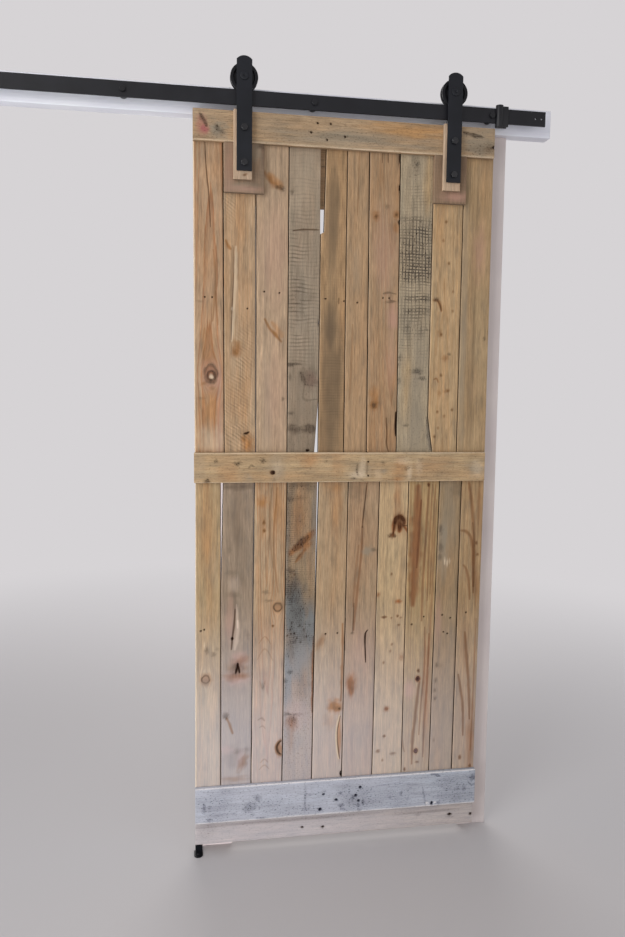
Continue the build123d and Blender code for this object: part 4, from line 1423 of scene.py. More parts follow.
def lower_boards() -> list[Board]:
    """The ten upright boards below the middle rail, from left to right.

    Returns:
        The boards.
    """
    return [
        Board(
            "lower_board_1", Wood((168, 147, 114), (156, 116, 74), 6.0, 0.25), seed=11, pith=Pith(-60, 50),
            joints=(0.0, 0.7), arris=2.6, pale_and_lit_arris=(1.3, 0.2),
            marks=marked(
                Kind.NAIL, (18, 635), (27, 638),
                # A pale line down the leaf's left edge: painted highlight where light from the left catches it.
                Kind.PALE, (((2, 180), (2, 617), (2, 1055)), 2.8, 0.8),
                Kind.WARM, (38, 940, 22, 130, 0.45), (48, 720, 12, 80, 0.2),
                Kind.GREY, (58, 800, 14, 60, 0.3),
                Kind.SMUDGE, (34, 577, 5, 8, 0.8), (53, 565, 7, 6, 0.7), (62, 580, 5, 5, 0.4),
                Kind.PALE, (27, 592, 1.5, 7),
            ),
            knots=(Knot(31, 493, 10.5, 1.1, 0.2, 0.9, 0.0, 0.5),),
        ),
        Board(
            "lower_board_2",
            Wood((147, 128, 107), (126, 106, 86), 5.0, 0.3, grey=(136, 128, 120), pale=(204, 182, 164), mottle=0.12,
                 greying=0.12),
            seed=12, pith=Pith(110, 36, 0.0, -2.0), joints=(0.7, 1.6), pale_and_lit_arris=(0.7, 0.2),
            marks=marked(
                Kind.SMUDGE, (122, 970, 24, 56, 0.3), (134, 850, 18, 60, 0.28), (104, 715, 20, 26, 0.25),
                    (118, 1043, 40, 7, 0.6), (115, 915, 9, 50, 0.35), (98, 865, 6, 12, 0.4), (104, 800, 14, 6, 0.35),
                    (132, 770, 8, 22, 0.3), (112, 735, 18, 8, 0.3), (88, 383, 7, 10, 0.9, -20), (120, 275, 8, 7, 0.3),
                    (148, 278, 8, 7, 0.35), (150, 618, 3, 12, 0.4), (119, 520, 13, 15, 0.6), (112, 262, 26, 30, 0.25),
                Kind.PALE, (((118, 708), (120, 670), (121, 640)), 2.6, 0.6),
                    (((121, 660), (121, 625), (113, 578)), 5.6, 0.65), (112, 765, 14, 18, 0.3),
                Kind.PINK, (130, 548, 22, 18, 0.8), (118, 492, 30, 18, 0.8), (90, 280, 18, 10, 0.6),
                    (130, 250, 10, 22, 0.6), (100, 660, 12, 60, 0.5),
                Kind.STREAK, (120, 522, 24, 24, 0.55), (114, 500, 34, 8, 0.4), (136, 240, 10, 24, 0.8, -25),
                    (112, 192, 36, 8, 0.5), (106, 492, 16, 9, 0.6), (138, 497, 12, 8, 0.7),
                    (136, 546, 16, 9, 0.6, 30),
                Kind.SPLIT, (((122, 535), (120, 522), (116, 508)), 3.4, 0.9),
                    (((122, 533), (125, 520), (127, 508)), 3.0, 0.9),
                Kind.STREAK, (((90, 376), (99, 354), (107, 330)), 3.4, 0.9),
                Kind.CRACK, (((114, 694), (112, 655), (107, 615), (104, 578)), 2.6),
                Kind.HOLE, (106, 609, 3.4, 4.4),
            ),
        ),
        Board(
            "lower_board_3", Wood((170, 146, 117), (154, 104, 66), 7.0, 0.6, mottle=0.4), seed=13,
            pith=Pith(204, 14, 0.0, -4.0), joints=(1.3, 1.2), pale_and_lit_arris=(0.9, 0.2),
            marks=marked(
                Kind.WARM, (190, 1000, 14, 14, 0.9), (235, 990, 12, 60, 0.5), (192, 940, 8, 40, 0.5),
                Kind.SPECK, (195, 942, 3.5, 6, 0.8), (196, 918, 4, 5, 0.8), (222, 642, 3, 3),
                Kind.GRAIN, (((182, 592), (192, 606), (199, 611), (207, 604), (216, 588)), 2.0, 0.5),
                    (((178, 545), (189, 566), (199, 575), (210, 564), (222, 540)), 2.0, 0.4),
                    (((232, 1040), (226, 960), (222, 880), (228, 800), (236, 740)), 2.4, 0.7),
                    (((216, 1040), (212, 960), (214, 880), (222, 810)), 2.4, 0.6),
                    (((188, 236), (199, 246), (209, 236)), 2.0, 0.4),
                    (((184, 215), (199, 228), (213, 215)), 2.0, 0.4),
                    (((184, 480), (193, 458), (200, 480)), 2.2, 0.4),
                Kind.SMUDGE, (200, 741, 11, 5, 0.6), (208, 716, 12, 4, 0.6), (195, 464, 4, 10, 0.5),
                    (((180, 365), (190, 370), (199, 362)), 2.0, 0.5),
                    (((184, 342), (194, 346), (201, 338)), 2.0, 0.4),
                Kind.WARM, (243, 277, 8, 20, 1.2),
                Kind.STREAK, (((247, 300), (238, 292), (233, 278), (238, 262), (247, 255)), 4.6),
                Kind.CRACK, (((247, 297), (240, 290), (236, 278), (240, 264), (247, 258)), 3.0),
            ),
            knots=(Knot(236, 696, 11, 1.1, 0.15, 1.1, 0.0, 0.3),),
        ),
        Board(
            "lower_board_4",
            Wood((148, 126, 98), (118, 98, 82), 5.0, 0.3, warm=(160, 104, 56), grey=(113, 114, 111),
                 soil=(52, 44, 40), greying=0.08, sawn=0.15, pitch=6.0, hatch=0.3, fleck=1.0),
            seed=14, pith=Pith(310, 32, 0.0, 2.0), joints=(0.9, 0.9), pale_and_lit_arris=(0.7, 0.2),
            marks=marked(
                Kind.NAIL, (284, 617),
                Kind.STREAK, (((272, 852), (290, 868), (312, 884), (336, 912)), 10.0, 0.95),
                    (((286, 826), (298, 843), (312, 860)), 4.5, 0.8),
                    (((310, 862), (322, 872), (334, 884)), 6.0, 0.5),
                Kind.SMUDGE, (((282, 862), (300, 880), (320, 898)), 8.0, 1.3), (((290, 836), (300, 848)), 3.0, 0.6),
                Kind.STREAK, (295, 950, 15, 70, 0.35), (((341, 605), (342, 500), (340, 380)), 4.6, 1.4),
                Kind.SAWN, (268, 900, 14, 150, 0.6), (290, 740, 30, 70, 0.7), (296, 620, 40, 40, 0.8),
                Kind.SMUDGE, (264, 980, 12, 60, 0.4), (270, 770, 18, 40, 0.5), (262, 860, 8, 60, 0.3),
                Kind.SPECK, (284, 790, 3, 3, 0.7), (300, 640, 2.4, 3), (272, 628, 2.4, 3), (312, 628, 2.6, 3),
                    (292, 603, 2.4, 3), (264, 612, 2.4, 3, 0.9), (320, 606, 2.4, 3, 0.9), (302, 590, 2.4, 3, 0.8),
                    (276, 648, 2.4, 3, 0.8), (328, 640, 2.4, 3, 0.7),
                Kind.SMUDGE, (300, 1045, 40, 7, 0.5), (330, 1035, 10, 8, 0.5), (270, 1008, 12, 6, 0.6),
                    (298, 1010, 14, 5, 0.4), (266, 805, 6, 5, 0.8), (276, 799, 6, 5, 0.9), (284, 745, 22, 42, 0.55),
                    (300, 700, 34, 60, 0.3), (270, 720, 6, 18, 0.4), (288, 668, 24, 34, 0.6),
                    (274, 590, 12, 40, 0.55), (305, 612, 34, 26, 0.5), (284, 592, 5, 5, 0.8), (273, 503, 6, 5),
                    (258, 478, 6, 6, 0.8), (258, 445, 5, 30, 0.3), (264, 378, 8, 5, 0.8), (290, 375, 18, 3.5, 0.5),
                    (282, 362, 10, 8, 0.5),
                Kind.STREAK, (284, 350, 10, 18, 0.7), (270, 355, 10, 16, 0.5), (310, 465, 16, 36, 0.3),
                    (275, 310, 9, 40, 0.3),
                Kind.GREY, (296, 600, 44, 105), (262, 450, 12, 70), (335, 640, 12, 60, 0.8), (258, 900, 8, 150, 0.5),
                    (285, 700, 26, 60, 0.7), (340, 950, 8, 90, 0.5),
                Kind.WARM, (342, 460, 5, 100),
                Kind.PINK, (292, 372, 26, 40, 0.6),
            ),
        ),
        Board(
            "lower_board_5", Wood((166, 143, 114), (150, 112, 78), 6.0, 0.22), seed=15, pith=Pith(250, 50),
            joints=(0.9, 0.8), pale_and_lit_arris=(0.9, 0.2),
            marks=marked(
                Kind.NAIL, (376, 612), (411, 613),
                Kind.STREAK, (404, 1040, 28, 13, 0.35), (417, 1000, 6, 24, 0.3), (360, 588, 9, 22, 0.7, -30),
                    (415, 386, 10, 7), (398, 394, 12, 9, 0.6, 20),
                Kind.WARM, (408, 396, 18, 18, 0.9), (404, 970, 16, 70, 0.35), (392, 350, 18, 20, 0.3),
                    (421, 300, 5, 52),
                Kind.SPECK, (420, 385, 3.5, 3),
                Kind.STREAK, (((426, 640), (427, 560), (426, 480), (424, 410)), 3.4, 0.9),
                Kind.PALE, (((420, 364), (413, 330), (411, 295), (415, 255), (419, 232)), 2.8),
                Kind.CRACK, (((423, 362), (416, 326), (415, 296), (419, 256), (423, 232)), 1.8, 0.8),
                Kind.HOLE, (427, 185, 3.6, 7),
            ),
        ),
        Board(
            "lower_board_6", Wood((161, 136, 108), (142, 108, 80), 6.0, 0.3, warm=(156, 104, 66)), seed=16,
            pith=Pith(640, 45), joints=(0.8, 0.9), pale_and_lit_arris=(0.8, 0.3),
            marks=marked(
                Kind.SMUDGE, (462, 1030, 30, 20, 0.4), (516, 856, 7, 6, 0.8), (455, 611, 5, 4, 0.8),
                Kind.GREY, (497, 853, 14, 12, 0.9),
                Kind.PINK, (480, 560, 34, 60, 0.3),
                Kind.STREAK, (452, 462, 10, 20, 0.9), (455, 440, 7, 16, 0.7),
                Kind.WARM, (455, 460, 14, 30, 0.6),
                Kind.GRAIN, (((480, 925), (479, 860), (472, 780), (464, 690), (459, 620)), 3.6),
                    (((470, 870), (462, 780), (456, 690)), 3.0, 0.6),
                Kind.CRACK, (((492, 1052), (489, 1020), (485, 980), (482, 950), (480, 922)), 1.7),
                    (((459, 700), (458, 655), (457, 613)), 1.5, 0.9),
                    (((434, 655), (432, 600), (434, 560)), 1.8, 0.7),
                Kind.SPLIT, (((501, 618), (495, 608), (494, 585), (495, 558), (497, 522)), 2.3, 0.9),
            ),
        ),
        Board(
            "lower_board_7",
            Wood((181, 156, 121), (164, 128, 84), 6.0, 0.2, warm=(146, 92, 54), soil=(48, 30, 22), mottle=0.2,
                 streaks=0.15),
            seed=17, pith=Pith(700, 60), joints=(0.6, 0.8), pale_and_lit_arris=(1.0, 0.3),
            marks=marked(
                Kind.WARM, (584, 1010, 12, 44, 0.6), (590, 935, 24, 34, 0.3), (592, 701, 9, 5), (605, 532, 7, 9, 0.5),
                    (562, 376, 9, 8, 0.6),
                Kind.STREAK, (((572, 899), (574, 920), (577, 943), (588, 952), (600, 946), (605, 932)), 5.5),
                    (((590, 930), (591, 918), (591, 908)), 6.5), (((600, 928), (610, 916), (616, 906)), 3.0, 0.8),
                Kind.CRACK, (((577, 934), (582, 948), (594, 951), (603, 942)), 5.6, 0.9),
                    (((573, 903), (575, 922), (577, 938)), 2.4, 0.7), (((604, 926), (617, 925)), 1.8, 0.7),
                    (((590, 926), (591, 912)), 4.5, 0.5),
                Kind.SMUDGE, (570, 897, 9, 6, 1.6), (592, 938, 17, 16, 0.75),
                Kind.STREAK, (590, 936, 15, 20, 0.7), (570, 897, 9, 6, 0.8), (562, 376, 5, 5, 0.9),
                    (530, 723, 5, 6, 0.8),
                Kind.SPECK, (570, 783, 3, 4, 0.6), (550, 655, 7, 3.5, 0.8), (591, 657, 3.4, 4, 0.7),
                    (595, 630, 4, 3, 0.6), (575, 572, 3, 4, 0.5), (551, 518, 3, 4, 0.5), (571, 552, 3, 4, 0.4),
                    (557, 292, 4, 4, 0.7), (538, 247, 5, 5, 0.6), (585, 237, 8, 3.5, 0.5), (553, 218, 3, 4, 0.5),
                    (600, 652, 4, 3, 0.4), (572, 652, 3, 3, 0.5),
            ),
        ),
        Board(
            "lower_board_8",
            Wood((166, 140, 101), (132, 90, 54), 9.0, 0.45, warm=(150, 98, 62), mottle=0.1, streaks=0.15),
            seed=18, pith=Pith(400, 30, 0.004, 0.3), joints=(0.8, 0.9), pale_and_lit_arris=(0.8, 0.2),
            marks=marked(
                Kind.NAIL, (671, 652), (635, 630),
                Kind.STREAK, (((645, 1040), (644, 960), (641, 860), (638, 760), (636, 690)), 13.0),
                Kind.GRAIN, (((655, 1000), (652, 940), (649, 870), (646, 800)), 3.4),
                    (((678, 1045), (674, 960), (670, 860), (665, 760), (664, 640)), 3.4),
                    (((688, 1045), (683, 900), (680, 700)), 2.4, 0.8),
                    (((697, 1045), (692, 900), (688, 720)), 2.4, 0.8),
                    (((702, 1000), (698, 880), (693, 700), (688, 500)), 2.4, 0.6),
                    (((663, 452), (659, 430), (652, 350), (645, 280), (644, 200)), 4.4),
                    (((674, 620), (676, 500), (668, 380), (664, 290)), 2.8, 0.8),
                    (((688, 600), (686, 460), (680, 330), (678, 220)), 3.0, 0.7),
                    (((612, 365), (608, 320), (613, 270), (620, 240)), 2.6, 0.7),
                Kind.WARM, (684, 430, 9, 160, 0.5), (620, 900, 6, 120, 0.2),
                Kind.PINK, (632, 430, 14, 26, 0.8),
                Kind.SPECK, (658, 488, 4, 5, 0.9), (676, 1045, 3.4, 6), (622, 185, 3, 5, 0.8), (661, 205, 5, 3, 0.6),
            ),
            knots=(Knot(657, 463, 5.5, 1.2, 1.0, 1.4, 0.6, 0.9), Knot(656, 240, 5.5, 1.2, 1.0, 1.0, 0.4)),
        ),
        Board(
            "lower_board_9", Wood((149, 125, 94), (126, 102, 76), 5.0, 0.25, soil=(70, 60, 54), greying=0.1), seed=19,
            pith=Pith(860, 45), joints=(0.9, 1.8),
            marks=marked(
                Kind.NAIL, (728, 655), (753, 645), (733, 603), (745, 598),
                Kind.SMUDGE, (758, 1030, 14, 22, 0.5), (716, 912, 6, 12), (717, 860, 6, 14, 0.8),
                    (716, 830, 5, 9, 0.8), (714, 503, 3.5, 7, 0.8), (713, 455, 3.5, 8, 0.8), (711, 425, 3.5, 6, 0.7),
                    (712, 400, 3.5, 6, 0.8), (711, 270, 3, 6, 0.5), (724, 500, 8, 8, 0.3),
                Kind.GREY, (724, 860, 12, 90, 0.7), (742, 960, 24, 110, 0.5),
                Kind.PALE, (731, 818, 2.4, 10, 0.9), (739, 812, 2.4, 10, 0.8), (746, 818, 2, 8, 0.5),
                Kind.PINK, (716, 640, 8, 60, 0.5),
            ),
        ),
        Board(
            "lower_board_10",
            Wood((159, 132, 98), (128, 90, 56), 10.0, 0.3, warm=(146, 98, 60), soil=(84, 60, 42), mottle=0.15,
                 streaks=0.15),
            seed=20, pith=Pith(700, 40, 0.0, 1.0), joints=(1.6, 0.0), pale_and_lit_arris=(0.6, 0.6),
            marks=marked(
                Kind.NAIL, (802, 660),
                Kind.GRAIN, (((800, 1048), (810, 985), (819, 900), (822, 820), (822, 740)), 5.0, 1.2),
                    (((779, 908), (796, 904), (810, 886), (818, 840), (820, 770), (822, 720)), 4.4, 1.2),
                    (((789, 804), (800, 788), (808, 750), (812, 700)), 4.0, 1.1),
                    (((800, 600), (808, 520), (817, 430), (822, 330)), 4.2, 1.1),
                    (((783, 470), (792, 420), (800, 370), (803, 280)), 4.0, 1.1),
                    (((834, 640), (832, 500), (830, 340), (828, 230)), 2.6, 0.8),
                Kind.SMUDGE, (((814, 930), (820, 880), (823, 830)), 2.2, 0.6),
                Kind.STREAK, (832, 980, 7, 60, 0.5), (831, 740, 7, 50, 0.6), (800, 560, 14, 60, 0.3),
                    (828, 250, 12, 90, 0.7),
                Kind.SPECK, (828, 870, 4, 5, 0.8), (832, 835, 4, 4, 0.7), (795, 210, 4, 6, 0.8),
                    (828, 182, 4, 4, 0.8),
            ),
        ),
    ]


def lying_boards() -> list[Board]:
    """The base board and the three rails across the front.

    Returns:
        The boards.
    """
    return [
        Board(
            "base_board",
            Wood((168, 155, 143), (142, 122, 108), 6.0, 0.4, warm=(164, 134, 112), grey=(156, 150, 150), greying=0.2,
                 fibre=0.6, fleck=0.6),
            Lay.LYING, seed=21, pith=Pith(-80, 40), arris=2.4, pale_and_lit_arris=(0.3, 0.3), rebate=(3.0, 16.0),
            marks=marked(
                Kind.HOLE, (313, 28, 3.6, 3), (375, 24, 4.4, 3.4), (768, 31, 5.5, 3.6), (835, 27, 4, 4),
                Kind.SMUDGE, (667, 38, 7, 4, 0.4), (768, 24, 10, 4, 0.3), (300, 54, 290, 4, 0.5),
                    (690, 46, 90, 4, 0.5), (30, 40, 26, 30, 0.2),
            ),
        ),
        Board(
            "top_rail",
            Wood((166, 143, 115), (138, 106, 76), 6.0, 0.35, warm=(172, 128, 80), grey=(142, 134, 118),
                 pink=(158, 94, 90), fibre=0.6, fleck=1.0),
            Lay.LYING, seed=22, pith=Pith(1900, 40, 0.01), arris=2.8, pale_and_lit_arris=(1.0, 0.5),
            marks=marked(
                Kind.HOLE, (335, 2034, 2.6, 2.6), (371, 2034, 2.6, 2.6), (317, 2009, 2.6, 2.6), (838, 2000, 4.4, 3.4),
                    (361, 1992, 2.4, 2.2), (411, 2003, 2.8, 2.8),
                Kind.PINK, (22, 2010, 13, 22, 0.7), (32, 1998, 9, 9),
                Kind.SMUDGE, (68, 2000, 17, 14, 0.45), (64, 2005, 5, 8, 0.6), (76, 1996, 7, 5, 0.6),
                    (411, 2033, 3, 3, 0.5), (800, 1990, 40, 14, 0.4), (828, 2000, 16, 14, 0.5),
                    (280, 2012, 40, 8, 0.15), (380, 2000, 60, 6, 0.3), (500, 2000, 60, 10, 0.15),
                    (30, 1978, 24, 3, 0.4), (((19, 2038), (27, 2026), (37, 2008)), 4.6, 1.3),
                    (((748, 2036), (775, 2031), (803, 2026)), 4.4, 1.2),
                Kind.GREY, (405, 1997, 160, 17, 0.7), (795, 2010, 50, 36, 0.7), (66, 1998, 22, 20, 0.9),
                    (210, 2015, 50, 20, 0.3),
                Kind.WARM, (600, 2032, 100, 17, 0.8), (560, 2004, 60, 8, 0.3),
                Kind.PALE, (((3, 1973), (280, 1974), (560, 1973), (838, 1974)), 2.0, 0.5),
            ),
        ),
        Board(
            "middle_rail",
            Wood((172, 148, 114), (146, 108, 72), 6.0, 0.35, mottle=0.35, fibre=0.5, streaks=0.2, fleck=1.0),
            Lay.LYING, seed=23, pith=Pith(980, 34, 0.02), arris=2.8, pale_and_lit_arris=(1.0, 0.7),
            marks=marked(
                Kind.NAIL, (491, 1114), (491, 1075),
                Kind.PALE, (((3, 1138), (280, 1139), (560, 1138), (838, 1139)), 1.8, 0.55),
                Kind.SMUDGE, (60, 1118, 5, 5, 0.9), (120, 1110, 9, 7), (190, 1118, 7, 6), (35, 1062, 8, 6, 1.2),
                    (222, 1062, 4, 4, 0.4), (368, 1115, 4, 4, 0.4), (405, 1085, 4, 4, 0.4), (447, 1066, 10, 3.5, 0.9),
                    (470, 1064, 6, 3.5, 0.5), (535, 1110, 5, 5, 0.6), (605, 1095, 8, 5, 0.6), (645, 1116, 8, 5, 0.4),
                    (553, 1062, 14, 3.5, 0.45), (((150, 1098), (157, 1106), (165, 1102)), 2.6, 0.7),
                    (((460, 1108), (458, 1090), (461, 1076)), 3.4, 0.7),
                    (((487, 1112), (488, 1096), (487, 1080)), 3.0, 0.5),
                Kind.GREY, (226, 1100, 24, 34, 0.6), (470, 1090, 28, 22, 0.6), (810, 1094, 22, 20, 0.8),
                    (15, 1100, 14, 40, 0.35), (150, 1070, 12, 10, 0.5), (537, 1086, 8, 8, 0.7),
                Kind.WARM, (92, 1090, 24, 30, 0.4), (322, 1118, 24, 18, 0.6), (400, 1105, 16, 34, 0.4),
                    (585, 1095, 16, 30, 0.5), (700, 1112, 50, 16, 0.3),
                Kind.PALE, (612, 1082, 8, 20, 0.6), (460, 1076, 24, 11, 0.6), (474, 1104, 9, 24, 0.45),
                    (520, 1080, 10, 16, 0.3), (596, 1116, 22, 9, 0.35), (820, 1092, 18, 24, 0.4),
                    (230, 1098, 12, 20, 0.25), (640, 1100, 10, 24, 0.3),
                Kind.STREAK, (672, 1085, 52, 22, 0.2), (576, 1062, 12, 5, 0.5),
                Kind.SPECK, (217, 1085, 5.5, 5),
            ),
            knots=(Knot(217, 1085, 5, 1.2, 0.9, 0.8, 0.3),),
        ),
        Board(
            "bottom_rail",
            # The bottom rail's blue-grey tones, soil and pit are partly painted light: cool light bouncing up from
            # below, painted into the wood's colour.
            Wood((144, 151, 158), (106, 112, 122), 5.0, 0.6, warm=(150, 140, 140), grey=(138, 146, 160),
                 pale=(222, 216, 214), soil=(62, 64, 80), pit=(34, 35, 48), mottle=0.25, greying=0.25, fibre=1.1,
                 streaks=0.8, cloud=1.5, hatch=0.1, fleck=1.3),
            Lay.LYING, seed=24, pith=Pith(40, 60, 0.02), arris=3.2, pale_and_lit_arris=(1.0, 0.9),
            marks=marked(
                Kind.HOLE, (373, 133, 4, 2.8), (363, 87, 5, 5), (412, 113, 4.4, 3.6), (483, 146, 3.6, 4.4),
                    (470, 122, 4, 4.4), (479, 105, 4, 4), (705, 79, 3.6, 5.4),
                Kind.SMUDGE, (155, 110, 17, 13, 0.6), (178, 136, 10, 9, 0.6), (25, 118, 4, 12, 0.7),
                    (38, 82, 7, 5, 0.7), (40, 118, 5, 5, 0.4), (110, 95, 6, 4, 0.4), (165, 88, 6, 4, 0.4),
                    (190, 75, 12, 3, 0.6), (318, 125, 3, 34, 0.5), (425, 95, 7, 5, 0.9), (423, 133, 5, 4, 0.7),
                    (493, 100, 4, 8, 0.8), (481, 76, 5, 4, 0.8), (478, 92, 5, 5, 0.7), (461, 115, 4, 8, 0.7),
                    (430, 84, 8, 3, 0.7), (608, 118, 4, 5, 0.6), (575, 107, 4, 4, 0.6), (628, 98, 5, 4, 0.5),
                    (727, 78, 4, 5, 0.7), (680, 105, 3, 26, 0.5, 10), (770, 140, 50, 20, 0.3), (805, 118, 4, 9, 0.5),
                    (832, 152, 11, 8), (785, 120, 4, 6, 0.4), (320, 92, 8, 4, 0.5),
                    (((700, 170), (714, 169), (728, 163)), 2.6, 0.9),
                    (((818, 138), (830, 128), (844, 134)), 2.6, 0.7),
                    (((300, 140), (340, 136), (380, 142)), 2.4, 0.35),
                    (((540, 148), (600, 150), (660, 142)), 2.2, 0.3),
                Kind.PALE, (690, 81, 5, 3.4, 1.0, -20), (714, 81, 4, 3, 1.0, 20),
                    (((3, 73), (210, 72), (420, 73), (630, 72), (838, 73)), 2.6, 0.85),
                    (((3, 174), (280, 175), (560, 174), (838, 175)), 1.8, 0.6),
                Kind.SMUDGE, (470, 116, 50, 40, 0.38), (300, 90, 60, 14, 0.25), (600, 110, 60, 24, 0.2),
                    (60, 122, 50, 34, 0.3), (220, 116, 40, 26, 0.2), (780, 104, 50, 30, 0.3),
            ),
        ),
    ]


def hidden_boards() -> list[Board]:
    """The plates and strips behind the straps, and the rails across the back.

    Returns:
        The boards.
    """
    back = Wood((182, 147, 111), (144, 106, 74), 6.0, 0.4, greying=0.15, sawn=0.3)
    plate = Wood((131, 108, 88), (104, 80, 62), 5.0, 0.35, greying=0.15, sawn=0.12)
    strip = Wood((180, 156, 132), (150, 118, 90), 5.0, 0.25, mottle=0.1)
    boards = [
        Board(
            "backing_plate_left", plate, seed=31, slot="backing_boards", pith=Pith(60, 40), pale_and_lit_arris=(0.3, 0.2),
            marks=marked(
                Kind.SMUDGE, (182, 1966, 12, 8), (186, 1940, 6, 26, 0.5), (170, 1860, 16, 8, 0.3),
                Kind.PINK, (96, 1900, 12, 60, 0.3), (140, 1850, 40, 8, 0.5),
                Kind.GREY, (130, 1856, 40, 14, 0.5), (166, 1950, 14, 24, 0.6),
            ),
        ),
        Board(
            "backing_plate_right", plate, seed=32, slot="backing_boards", pith=Pith(800, 40), pale_and_lit_arris=(0.3, 0.2),
            marks=marked(
                Kind.SMUDGE, (690, 1950, 8, 24, 0.4), (752, 1950, 12, 30, 0.4),
                Kind.PINK, (730, 1860, 36, 12, 0.8),
            ),
        ),
        Board(
            "strap_strip_left", strip, seed=33, slot="packing_strips", arris=1.2, pale_and_lit_arris=(1.0, 0.0),
            marks=marked(Kind.SPECK, (137, 1884, 5, 3, 0.8, 20)),
        ),
        Board(
            "strap_strip_right", strip, seed=34, slot="packing_strips", pith=Pith(900, 60), arris=1.2,
            pale_and_lit_arris=(1.0, 0.0), marks=marked(Kind.SPECK, (745, 1893, 4, 3, 0.8, 20)),
        ),
    ]
    for number, name in enumerate(("back_rail_top", "back_rail_second", "back_rail_middle", "back_rail_bottom")):
        pith = Pith(300 * number - 200, 36, 0.02)
        boards.append(Board(name, back, Lay.LYING, 41 + number, pith, slot="back_boards", painted_light=0.2, step=7.0))
    return boards


@dataclass(frozen=True)
class Paint:
    """Satin paint over wood, with brush strokes along the board, a soft mottle and fine dabs in its relief."""

    tone: Tone
    shade: Tone

    def material(self, name: str, stroke: Point) -> bpy.types.Material:
        """The paint's material, with strokes that are longest where the stroke's scale is least.

        Args:
            name: The material's name.
            stroke: Features per metre along each axis.
        Returns:
            The material.
        """
        mix = Recipe(name)
        place = mix.coordinates()
        strokes = mix.noise(place, stroke, 3.0, 0.6)
        cloud = mix.noise(place, (4.0, 4.0, 4.0), 2.0, 0.5)
        dabs = mix.noise(place, (220.0, 220.0, 220.0), 2.0, 0.6)
        share = mix.math("ADD", mix.product(cloud, 0.7), mix.product(strokes, 0.3))
        colour = mix.blend(mix.ramp(share, (0.35, 0.0), (0.65, 1.0)), linear(self.tone), linear(self.shade))
        height = mix.math("ADD", mix.product(strokes, 0.8), mix.product(dabs, 0.2))
        return mix.finish(colour, mix.ramp(cloud, (0.3, 0.38), (0.7, 0.5)), height, 0.00018)


@dataclass(frozen=True)
class Coating:
    """Matte black coating on steel, a little lighter in a fine mottle."""

    tone: Tone
    light: Tone
    roughness: float
    shine: float = 0.2

    def material(self, name: str) -> bpy.types.Material:
        """The coating's material.

        Args:
            name: The material's name.
        Returns:
            The material.
        """
        mix = Recipe(name)
        place = mix.coordinates()
        cloud = mix.noise(place, (11.0, 11.0, 11.0), 3.0, 0.6)
        grit = mix.noise(place, (900.0, 900.0, 900.0), 2.0, 0.6)
        share = mix.product(mix.ramp(cloud, (0.35, 0.0), (0.8, 0.8)), mix.ramp(grit, (0.3, 0.4), (0.7, 1.0)))
        mix.fix("Specular IOR Level", self.shine)
        rough = mix.math("ADD", self.roughness - 0.06, mix.product(cloud, 0.14))
        return mix.finish(mix.blend(share, linear(self.tone), linear(self.light)), rough, grit, 0.00006)


@dataclass(frozen=True)
class Steel:
    """Bare dull steel, turned or zinc plated."""

    tone: Tone
    roughness: float

    def material(self, name: str) -> bpy.types.Material:
        """The steel's material.

        Args:
            name: The material's name.
        Returns:
            The material.
        """
        mix = Recipe(name)
        cloud = mix.noise(mix.coordinates(), (260.0, 260.0, 260.0), 3.0, 0.6)
        dark = tuple(value * 0.62 for value in self.tone)
        mix.fix("Metallic", 1.0)
        rough = mix.math("ADD", self.roughness - 0.08, mix.product(cloud, 0.16))
        colour = mix.blend(mix.ramp(cloud, (0.35, 0.0), (0.7, 1.0)), linear(self.tone), linear(dark))
        return mix.finish(colour, rough, cloud, 0.00003)


# Axes of an outline in the door's plane that is carried away from the viewer.
FACING = (0, 2, 1)


def inset(outline: np.ndarray, amount: float) -> np.ndarray:
    """Moves a closed outline inwards.

    Each corner moves along the sum of its two edges' inward normals, divided by one plus their cosine,
    which keeps the edges parallel.

    Args:
        outline: Its corners, against the clock.
        amount: How far each edge moves.
    Returns:
        The moved corners.
    """
    ahead = np.roll(outline, -1, axis=0) - outline
    ahead /= np.linalg.norm(ahead, axis=1)[:, None]
    normal = np.stack([-ahead[:, 1], ahead[:, 0]], -1)
    before = np.roll(normal, 1, axis=0)
    spread = 1.0 + (normal * before).sum(1)
    return outline + amount * (normal + before) / spread[:, None]


def prism(outline: np.ndarray, near: float, far: float, bevel: float, axes: tuple[int, int, int]) -> np.ndarray:
    """A closed outline carried straight from near to far, with both ends' edges rounded.

    At a share s of the quarter turn, the end row is inset by bevel times one minus cosine and lies bevel
    times one minus sine from its end.

    Args:
        outline: Points round the outline, against the clock about the third axis.
        near: First place along the third axis.
        far: Last place along it.
        bevel: Radius of the rounding.
        axes: Axis numbers of the outline's two coordinates and of the carrying direction.
    Returns:
        Rows of points.
    """
    steps = np.linspace(0.0, math.pi / 2, 4)
    reach = [(near + bevel * (1 - math.sin(turn)), bevel * (1 - math.cos(turn))) for turn in steps[::-1]]
    reach += [(far - bevel * (1 - math.sin(turn)), bevel * (1 - math.cos(turn))) for turn in steps]
    grid = np.empty((len(reach), len(outline), 3))
    for row, (place, amount) in enumerate(reach):
        grid[row][:, list(axes[:2])] = inset(outline, amount)
        grid[row][:, axes[2]] = place
    return grid


